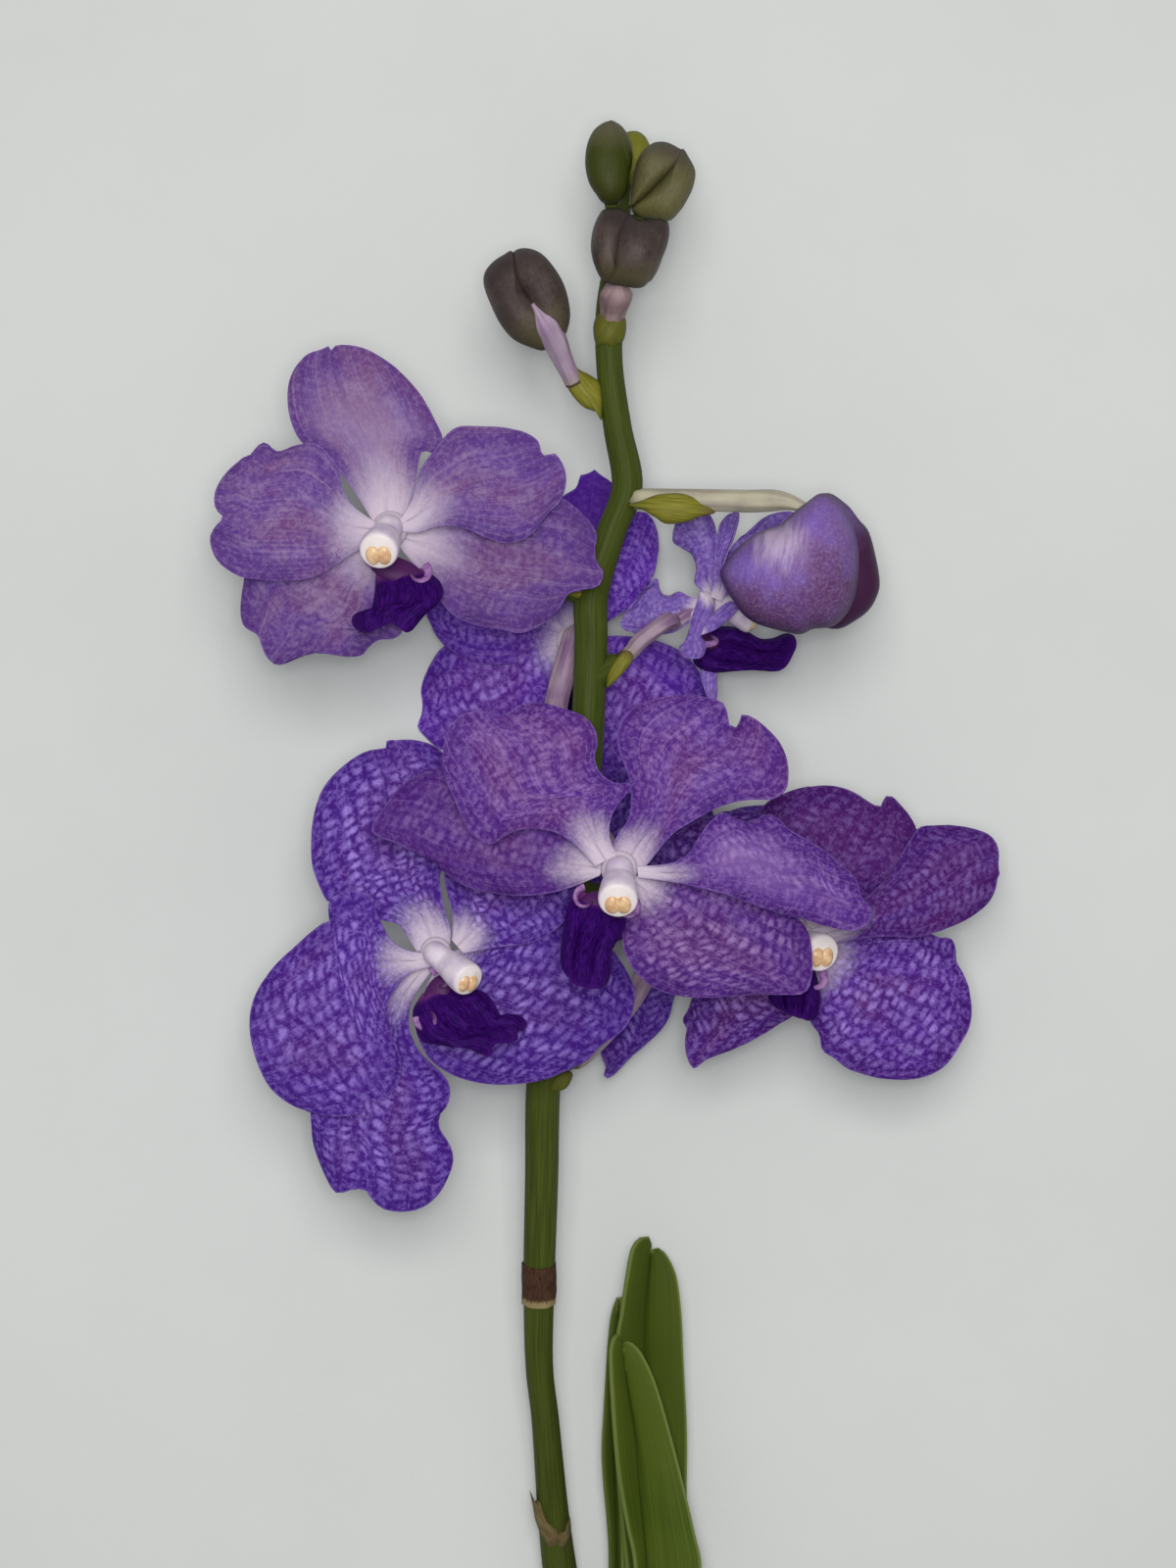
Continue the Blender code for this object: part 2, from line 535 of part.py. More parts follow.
def bud_shape(name, bud):
    """A grooved egg, blunt at the tip."""
    surface = material(name + "_skin", bud.tint, 0.5)
    foot = seen(bud.foot)
    tip = seen(bud.tip)
    way = (tip - foot).normalized()
    side = way.cross(Vector((0.0, 0.0, 1.0))).normalized()
    up = side.cross(way)
    rows = 8
    sides = 12
    bm = bmesh.new()
    rings = []
    for i in range(1, rows):
        u = 0.5 - 0.5 * cos(pi * i / rows)
        swell = sin(pi * u ** (0.5 / bud.fullest)) ** 0.62
        ring = []
        for k in range(sides):
            turn = 2.0 * pi * k / sides
            groove = abs(cos(0.5 * bud.grooves * (turn - radians(bud.facing)))) ** 6
            radius = bud.radius * swell * (1.0 - bud.depth * groove)
            spot = foot + (tip - foot) * u + (side * cos(turn) + up * sin(turn)) * radius
            ring.append(bm.verts.new(placed(spot)))
        rings.append(ring)
    ends = [bm.verts.new(placed(foot)), bm.verts.new(placed(tip))]
    for k in range(sides):
        after = (k + 1) % sides
        bm.faces.new((ends[0], rings[0][after], rings[0][k]))
        bm.faces.new((ends[1], rings[-1][k], rings[-1][after]))
        for low, high in zip(rings, rings[1:]):
            bm.faces.new((low[k], low[after], high[after], high[k]))
    return new_object(name, bm, surface)


def bract(name, foot, way, length, radius, surface):
    """A small scale hugging a stub, swollen in its middle."""
    foot = Vector(foot)
    way = Vector(way).normalized()
    places = (0.0, 0.3, 0.6, 0.85, 1.0)
    path = [foot + way * length * u for u in places]
    radii = [radius * r for r in (0.8, 1.0, 0.95, 0.6, 0.25)]
    return tube(name, path, radii, surface, sides=8)


def flower_stem():
    """The stem with its swollen nodes, stubs, bracts and dry band, and the shoot's cut foot."""
    surface = material("stem_green", STEM_GREEN, 0.45)
    points = [seen(p) for p in STEM_PATH]
    count = 38
    path = [smooth(points, i / count) for i in range(count + 1)]
    radii = [smooth(STEM_RADII, i / count) for i in range(count + 1)]
    pieces = [tube("stem", path, radii, surface, sides=10)]
    for name, flower in FLOWERS.items():
        node = seen(flower.node)
        stub = Vector(flower.stub).normalized()
        pieces.append(tube(name + "_stub", [node, node + stub * 3.0, node + stub * STUB_LENGTH],
                           [2.9, 2.7, STUB_RADIUS], surface))
    for name, (foot, way, length, radius) in BRACTS.items():
        pieces.append(bract(name, seen(foot), way, length, radius, surface))
    pieces.append(tube("band", [seen(p) for p in BAND_PATH], BAND_RADII, surface, sides=12))
    pieces.append(tube("shoot_foot", SHOOT_FOOT_PATH, SHOOT_FOOT_RADII, surface, sides=12, squash=0.92))
    for name, foot in LEAF_FEET.items():
        leaf = LEAVES[name]
        inner = Vector(foot)
        outer = seen(leaf.fold[0]) + (Vector(leaf.left_way) + Vector(leaf.right_way)) * 1.2
        way = (outer - inner).normalized()
        pieces.append(tube(name + "_sheath", [inner, outer - way * (BLADE + 4.0 * GAP)], [4.2, 3.4], surface))
    for name in TIP_BUDS:
        top = seen(STEM_PATH[-1])
        foot = seen(BUDS[name].foot)
        way = (foot - top).normalized()
        stub = [top - way * 1.5, foot - way * (0.4 + 3.0 * GAP)]
        pieces.append(tube(name + "_stub", stub, [1.7, 1.3], surface, sides=6))
    return union("flower_stem", pieces)


def stalk(name, points, radius):
    surface = material(name + "_pink", PINK, 0.5)
    points = [seen(p) for p in points]
    count = 5
    path = [smooth(points, i / count) for i in range(count + 1)]
    radii = [radius * (0.85 + 0.25 * i / count) for i in range(count + 1)]
    return tube(name, path, radii, surface, sides=8)


def leaf_blade(name, leaf):
    surface = material(name + "_green", LEAF_GREEN, 0.45)
    fold = [Vector(p) for p in leaf.fold]
    left_way = Vector(leaf.left_way).normalized()
    right_way = Vector(leaf.right_way).normalized()

    def point(s, c):
        spine = smooth(fold, s)
        if c < 0:
            reach = smooth(leaf.left, s) * -c
            way = left_way
        else:
            reach = smooth(leaf.right, s) * c
            way = right_way
        tip = 3.4 * ease(0.86, 1.0, s) * (1.0 - abs(abs(c) - 0.5) * 2.0)
        return spine + way * reach + Vector((0.0, tip, 0.0))
    return blade(name, point, surface, 10, 4, 1.4)


def basal_bract():
    """The dry, torn bract at the foot of the flower stem."""
    surface = material("straw", STRAW, 0.7)
    path = [seen(p) for p in BASAL_BRACT_PATH]
    return tube("basal_bract", path, BASAL_BRACT_RADII, surface, sides=6)


def build():
    for old in list(bpy.data.objects):
        bpy.data.objects.remove(old)
    flower_stem()
    for name, flower in FLOWERS.items():
        tepals_of(name, flower)
        column_of(name, flower)
        lip_of(name, flower)
        stalk_of(name, flower)
    for name, bud in BUDS.items():
        bud_shape(name, bud)
    for name, points in BUD_STALKS.items():
        stalk(name, points, 2.0)
    for name, leaf in LEAVES.items():
        leaf_blade(name, leaf)
    basal_bract()


build()
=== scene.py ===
from bisect import bisect
from dataclasses import dataclass
from functools import partial
from math import atan2, cos, exp, pi, radians, sin, sqrt

import bpy
import numpy as np
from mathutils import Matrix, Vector
from mathutils.noise import noise


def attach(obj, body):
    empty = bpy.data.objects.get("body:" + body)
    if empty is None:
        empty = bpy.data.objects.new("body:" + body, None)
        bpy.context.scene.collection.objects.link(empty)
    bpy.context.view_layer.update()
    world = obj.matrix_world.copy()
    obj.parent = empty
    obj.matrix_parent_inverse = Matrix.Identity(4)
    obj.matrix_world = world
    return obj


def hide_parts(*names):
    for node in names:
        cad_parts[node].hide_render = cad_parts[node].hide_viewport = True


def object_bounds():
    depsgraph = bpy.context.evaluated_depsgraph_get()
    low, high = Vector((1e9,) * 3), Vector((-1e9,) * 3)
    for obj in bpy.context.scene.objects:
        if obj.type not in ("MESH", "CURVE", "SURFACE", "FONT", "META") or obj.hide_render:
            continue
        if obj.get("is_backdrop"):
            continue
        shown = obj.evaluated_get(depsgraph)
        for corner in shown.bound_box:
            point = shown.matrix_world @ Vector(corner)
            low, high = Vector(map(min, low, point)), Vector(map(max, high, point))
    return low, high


MM = 0.001
VIEW_DISTANCE = 750.0
SURFACE = -42.0                      # the height that the shoot lies on
SHEET_TO_PART = Vector((-5.1, 45.5, -SURFACE))

PETAL_ROWS = 34
PETAL_COLUMNS = 28
PETAL_THICKNESS = 0.6
RIM_THINNING = 0.55                  # how much thinner a sheet is at its rim
INSIDE = 9.0                         # a distance from the rim that no paint reads as near
LANE_WIDTH = 3.9                     # between the dark veins at the widest place
CELL_LENGTH = 2.2                    # between the dark lines across the veins
WIDEST = 0.6                         # where a petal without its own rim is widest
CLAW = 0.16                          # such a petal's base width as a part of the widest
NECK = 1.7                           # how long its claw stays narrow
BLUNT = 0.42                         # how far its shoulders fall behind the tip
LOBE_DEPTH = 0.02
RIPPLE_CENTRE = 0.55                 # the place along a petal that its ripples run round
GROOVE_DEPTH = 0.5                   # of the line along a petal's or leaf's middle
GROOVE_WIDTH = 0.08
UNEVEN_PITCH = 0.16                  # of a petal's slow unevenness, for a millimetre
RIM_STEPS = 10                       # pieces of line between two points of a rim
RING_STEPS = 5
SHOULDERS = (0.38, 0.62)             # where along the rim its sides end and its tip begins
SHARP_ANGLE = 60.0                   # in degrees, where a surface is shaded as an edge
PUFF_ROWS = 18
PUFF_FULLNESS = 2.5                  # 2 is an ellipsoid, more is fuller
BALL_ROWS = 12
BALL_SIDES = 20
STALK_END = -2.0                     # where a stalk ends, along its flower's axis
CUSHION = 4.0                        # the white round that the claws meet in
CUSHION_HEIGHT = 2.6
CUSHION_LIFT = 0.4
COLUMN_FOOT = 3.3                    # how far in front of the flower's centre the column starts
COLUMN_SUNK = 1.2                    # how far it reaches back from there
COLUMN_NECK = 0.14                   # the part of it that follows the flower's axis
COLUMN_STATIONS = (0.34, 0.6, 0.84, 0.94)
COLUMN_RADIUS = 4.2
COLUMN_STEPS = 20
COLUMN_PROFILE = [0.72, 0.66, 0.70, 0.80, 0.93, 1.02, 1.0]
COLUMN_MOUTH = [(0.5, 0.96), (0.75, 0.86), (0.7, 0.74), (0.35, 0.70)]     # reach, share of the radius
CAP_LOW = 0.9                        # how far the cap lies towards the lip
CAP_APART = 1.2                      # how far each of its lobes is off the middle
CAP_LOBE = (1.85, 2.5, 1.5)          # half its width, height and depth
CAP_OUT = 0.1
LIP_THICKNESS = 1.5
EAR_STEPS = 16
EAR_CURL = 2.6
EAR_RADII = (1.05, 0.4725)
PEDICEL_RADIUS = 1.9
PEDICEL_STEPS = 48
BUD_STALK_STEPS = 30
STUB_LENGTH = 6.5
STUB_RADIUS = 3.5
TIP_STALK_RADII = (1.9, 1.5)
LEAF_FOOT_RADII = (4.2, 3.4)
STALK_START = STUB_LENGTH + 0.2
STEM_STEPS = 150
BAND_THICKNESS = 0.35
SHOOT_FOOT_STEPS = 24
LEAF_ROWS = 60
LEAF_COLUMNS = 28
LEAF_THICKNESS = 1.3
LEAF_CELLS = 3.0
LEAF_GROOVE_WIDTH = 0.05
FLOOR_HALF = 2.5                     # in metres, as are the lights
FLOOR_LOW = 0.0003                   # keeps the floor clear of the faces that rest on it

FRAME_HEIGHT = 352.0                 # what the camera sees at the sheet, along the stem
SENSOR = 36.0
AIM = Vector((0.0, 0.02, 0.0))


@dataclass
class Tepal:
    """One petal or sepal, in its flower's own plane."""
    angle: float                     # where its tip points, in degrees clockwise from up
    length: float
    half_width: float
    height: float = 0.0              # how far it lies in front of the flower's plane
    rise: float = 0.0                # how far the tip comes forward
    bend: float = 3.0                # how far the tip curls back from there
    cup: float = -2.0                # how far both edges stand forward
    wave: float = 1.3
    waves: int = 5
    phase: float = 0.0
    net: float = 1.0                 # how plainly the pale cells show
    red: float = 0.0                 # redder than its flower
    shade: float = 0.0               # darker than its flower, for some tepals as painted shade, or paler below 0


@dataclass
class Flower:
    """An open flower; away is -1 where it faces the surface."""
    centre: tuple
    column: tuple                    # from the column's foot to its cap
    lip_foot: tuple                  # from the flower's centre
    lip: tuple                       # from the lip's foot to its tip
    lip_width: float
    node: tuple                      # where its stalk leaves the stem
    stub: tuple                      # which way the stalk sets out
    through: list                    # points that the stalk passes
    tepals: list
    away: int = 1
    tilt: float = 0.0                # the flower turned about Y, in degrees
    lip_up: tuple = (0.0, 0.0, 1.0)  # the side of the lip that bears the keels
    size: float = 1.0                # of its column and its stalk
    entry: tuple = ()                # which way the stalk comes in, where that isn't straight from behind


@dataclass
class Lobe:
    """A rounded body that fills an outline."""
    outline: list
    swell: float
    height: float                    # of its middle; in a bud, above the bud's own line
    shade: float = 0.0


@dataclass
class Bud:
    """A closed bud of folded lobes."""
    foot: tuple
    tip: tuple
    lobes: list


@dataclass
class Leaf:
    """A strap folded along its middle, with a blunt tip of two lobes; all lines run from foot to tip."""
    fold: list
    left: list                       # the rims of both halves, which meet again in the tip's notch
    right: list
    left_up: float                   # how steeply the halves stand up from the fold
    right_up: float
    shade: float = 0.0


STEM_PATH = [
    (-2.0, -202.0, -33.0), (-4.6, -188.0, -33.5), (-6.4, -176.0, -32.5), (-8.0, -162.0, -29.0),
    (-9.6, -143.0, -24.5), (-11.0, -130.0, -21.0), (-11.0, -111.0, -16.0), (-10.4, -88.0, -10.5),
    (-9.9, -66.0, -5.0), (-7.0, -44.0, -1.5), (-3.6, -22.0, 0.0), (-0.9, 0.0, 0.0),
    (0.0, 13.0, 0.0), (0.7, 32.0, 0.0), (0.9, 43.0, 0.0), (5.4, 57.0, 0.0), (8.8, 67.0, 0.0),
    (6.6, 80.0, 0.5), (4.8, 94.0, 1.0), (4.8, 106.0, 1.0), (5.8, 117.0, -1.5), (6.6, 125.0, -2.0),
]
STEM_RADII = [4.4, 4.2, 4.0, 3.6, 3.2, 3.2, 3.6, 3.8, 3.9, 3.9, 3.8, 3.7,
              3.7, 3.7, 3.8, 3.3, 3.5, 3.2, 3.0, 3.1, 2.3, 1.9]

FLOWERS = {
    "flower_a": Flower(
        centre=(-44.4, 57.2, 20.0), column=(-1.8, -5.9, 10.5), lip_foot=(1.5, -8.6, 3.6),
        lip=(-4.4, -13.5, 5.0), lip_width=8.5, node=(0.8, 42.0, 0.0), stub=(-0.85, 0.25, -0.25),
        through=[(-24.0, 49.0, -4.0)],
        tepals=[
            Tepal(-17, 43, 16.5, rise=1, bend=5, cup=-1.5, wave=0.9, phase=0.6, net=0.12, red=0.25,
                  shade=-0.6),
            Tepal(-86, 40.0, 15.75, height=2.2, bend=5, wave=1.0, waves=7, phase=1.2, net=0.12),
            Tepal(73, 41, 14.25, height=2.2, rise=2, bend=5, cup=-1.5, wave=1.0, waves=6, phase=2.0,
                  net=0.12, shade=0.05),
            Tepal(-136, 38.0, 14.5, height=-0.6, bend=7, cup=-3, waves=6, phase=0.3, net=0.55, shade=0.06),
            Tepal(104, 48.5, 14.75, height=-0.6, rise=-1, bend=7, waves=6, phase=1.0, net=0.45, red=0.1,
                  shade=0.14),
        ]),
    "flower_b": Flower(
        centre=(-3.3, 31.9, -19.5), column=(0.5, -2.0, -10.5), lip_foot=(0.0, -6.4, -6.4),
        lip=(0.0, -11.0, -7.0), lip_width=8.0, node=(-0.3, 8.0, 0.0), stub=(-0.55, 0.35, -0.75),
        through=[(-7.2, 17.5, -10.0)], away=-1, lip_up=(0.0, 0.0, -1.0),
        tepals=[
            # the top sepal darkened as painted shade, for the shade it lies in under flower A
            Tepal(5, 38, 12.0, rise=12, bend=-13, cup=2, phase=0.4, net=0.25, shade=0.75),
            Tepal(36, 32, 7.25, height=2.0, rise=4, bend=-4, cup=1.5, phase=1.0, net=0.9),
            Tepal(-78, 33, 10.5, height=2.0, rise=6, bend=-3, cup=1, phase=2.0, net=0.8),
            Tepal(-113, 37.5, 14.5, rise=11, bend=-13, cup=2, waves=6, net=0.9, red=0.2),
            Tepal(124, 34, 12.75, rise=8, bend=-7, cup=2, waves=6, phase=1.5, net=0.9, red=0.2),
        ]),
    "flower_c": Flower(
        centre=(26.0, 40.5, -8.0), column=(8.0, -4.0, 0.5), lip_foot=(0.0, -8.5, -1.5),
        lip=(21.5, -1.5, -2.5), lip_width=6.5, node=(1.2, 24.0, 0.0), stub=(0.75, 0.5, -0.1),
        through=[(11.8, 32.2, -1.0), (17.6, 36.4, -2.0)], tilt=108.0, lip_up=(0.0, 1.0, 0.35), size=0.72,
        entry=(0.8, 0.52, -0.15),
        tepals=[
            Tepal(-8, 25, 7.0, bend=7, wave=1.4),
            Tepal(86, 38, 9.0, height=2.0, rise=2, bend=4, wave=1.2, phase=1.0),
            Tepal(-78, 27, 10.0, height=2.0, rise=-1, bend=5, wave=1.4, phase=2.0),
            Tepal(-165, 15, 4.0, height=5.5, rise=3, bend=-1, wave=0.8, waves=3, phase=3.0, net=0.3),
            Tepal(40, 27, 8.0, height=-0.6, rise=-1, wave=1.2, phase=4.0),
            Tepal(175, 22, 4.0, height=-3.0, rise=-1, bend=1, wave=0.8, waves=3, phase=1.0, net=0.3,
                  shade=-0.7),
            Tepal(50, 12, 3.0, height=6.2, bend=0, cup=0, wave=0.3, waves=2, net=0.2),
        ]),
    "flower_e": Flower(
        centre=(7.0, -19.0, 33.0), column=(-0.4, -6.6, 10.5), lip_foot=(-3.0, -7.6, 3.6),
        lip=(-4.0, -19.5, 4.0), lip_width=7.5, node=(0.0, 12.0, 0.0), stub=(-0.25, -0.25, 0.9),
        through=[(-3.5, -1.0, 15.0)],
        tepals=[
            Tepal(33, 46, 20.5, rise=2, bend=7, wave=1.0, waves=6, phase=0.5, net=0.45, red=0.1),
            Tepal(-45, 50, 18.5, height=2.2, rise=1, bend=6, cup=-1.5, wave=1.1, waves=6, phase=1.4,
                  net=0.45, red=0.1),
            Tepal(96, 57, 11.25, height=2.2, rise=4, bend=10, phase=0.2, net=0.6, red=-0.3, shade=-0.35),
            Tepal(-78.6, 56, 12.75, height=-0.6, bend=9, cup=-1.5, phase=2.2, net=0.65, red=-0.1,
                  shade=0.38),
            Tepal(122, 49, 16.25, height=-0.6, bend=8, waves=6, phase=1.1, net=0.95, red=0.2, shade=0.12),
        ]),
    "flower_f": Flower(
        centre=(-34.1, -37.8, 17.0), column=(7.7, -5.5, 9.0), lip_foot=(-0.5, -10.2, 4.0),
        lip=(19.0, -6.5, 3.0), lip_width=7.5, node=(-8.6, -53.0, -3.0), stub=(-0.85, 0.3, 0.2),
        through=[(-24.0, -45.0, 3.0)], size=0.88,
        tepals=[
            Tepal(-17, 48, 18.75, bend=7, waves=6, red=0.1),
            Tepal(-121, 47, 19.75, height=2.2, rise=1, bend=8, cup=-2.5, wave=1.1, waves=6, phase=1.0,
                  net=0.85),
            Tepal(55, 42, 15.0, height=2.2, rise=-2, bend=6, cup=-1.5, wave=1.0, phase=2.0),
            Tepal(-164, 59, 16.0, height=-0.6, bend=10, cup=-2.5, waves=7, phase=0.6, net=0.9),
            # the right lateral sepal darkened a little as painted shadow, for the column's shadow on it
            Tepal(115, 46, 19.9, height=-0.6, rise=-1, bend=7, waves=6, phase=1.7, net=1.1, red=-0.1,
                  shade=0.18),
        ]),
    "flower_g": Flower(
        centre=(47.3, -35.2, 3.0), column=(4.4, -2.2, 9.0), lip_foot=(-0.5, -7.6, 3.6),
        lip=(-3.0, -11.0, 3.0), lip_width=6.5, node=(-3.9, -24.0, 0.0), stub=(0.9, -0.1, -0.35),
        through=[(16.0, -21.5, -5.0), (36.0, -31.0, -7.5)],
        tepals=[
            Tepal(19, 37, 19.25, bend=6, waves=6, phase=0.2, net=0.45, red=0.7, shade=0.4),
            Tepal(68, 48.5, 11.75, height=2.2, bend=8, cup=-1.5, wave=1.0, phase=1.2, net=0.7, red=0.4,
                  shade=0.35),
            Tepal(-45, 32, 13.0, height=2.2, bend=5, cup=-1.5, wave=1.0, phase=0.4),
            Tepal(128, 45, 18.0, height=-0.6, bend=7, cup=-3, waves=7, phase=2.4, net=0.85, red=-0.4),
            Tepal(-139, 37, 10.0, height=-0.6, bend=6, phase=0.8, net=0.9, red=0.4, shade=0.1),
        ]),
    "flower_h": Flower(
        centre=(19.8, -28.6, -19.5), column=(0.5, -2.0, -10.5), lip_foot=(0.0, -6.4, -6.6),
        lip=(1.0, -10.5, -7.5), lip_width=7.5, node=(-9.4, -64.0, -4.6), stub=(0.8, 0.3, -0.4),
        through=[(10.0, -48.0, -14.0)], away=-1, lip_up=(0.0, 0.0, -1.0),
        tepals=[
            Tepal(-157, 41, 7.0, rise=4, bend=-6, cup=1, phase=0.4),
            Tepal(-82, 33, 12.0, height=2.0, rise=6, bend=-6, cup=2, phase=1.0),
            Tepal(-12, 34, 13.0, rise=6, bend=-7, cup=2, phase=2.0),
            Tepal(56, 36, 12.0, height=1.0, rise=10, bend=-12, cup=2),
            Tepal(126, 33, 11.0, rise=8, bend=-9, cup=2, phase=1.5),
        ]),
}

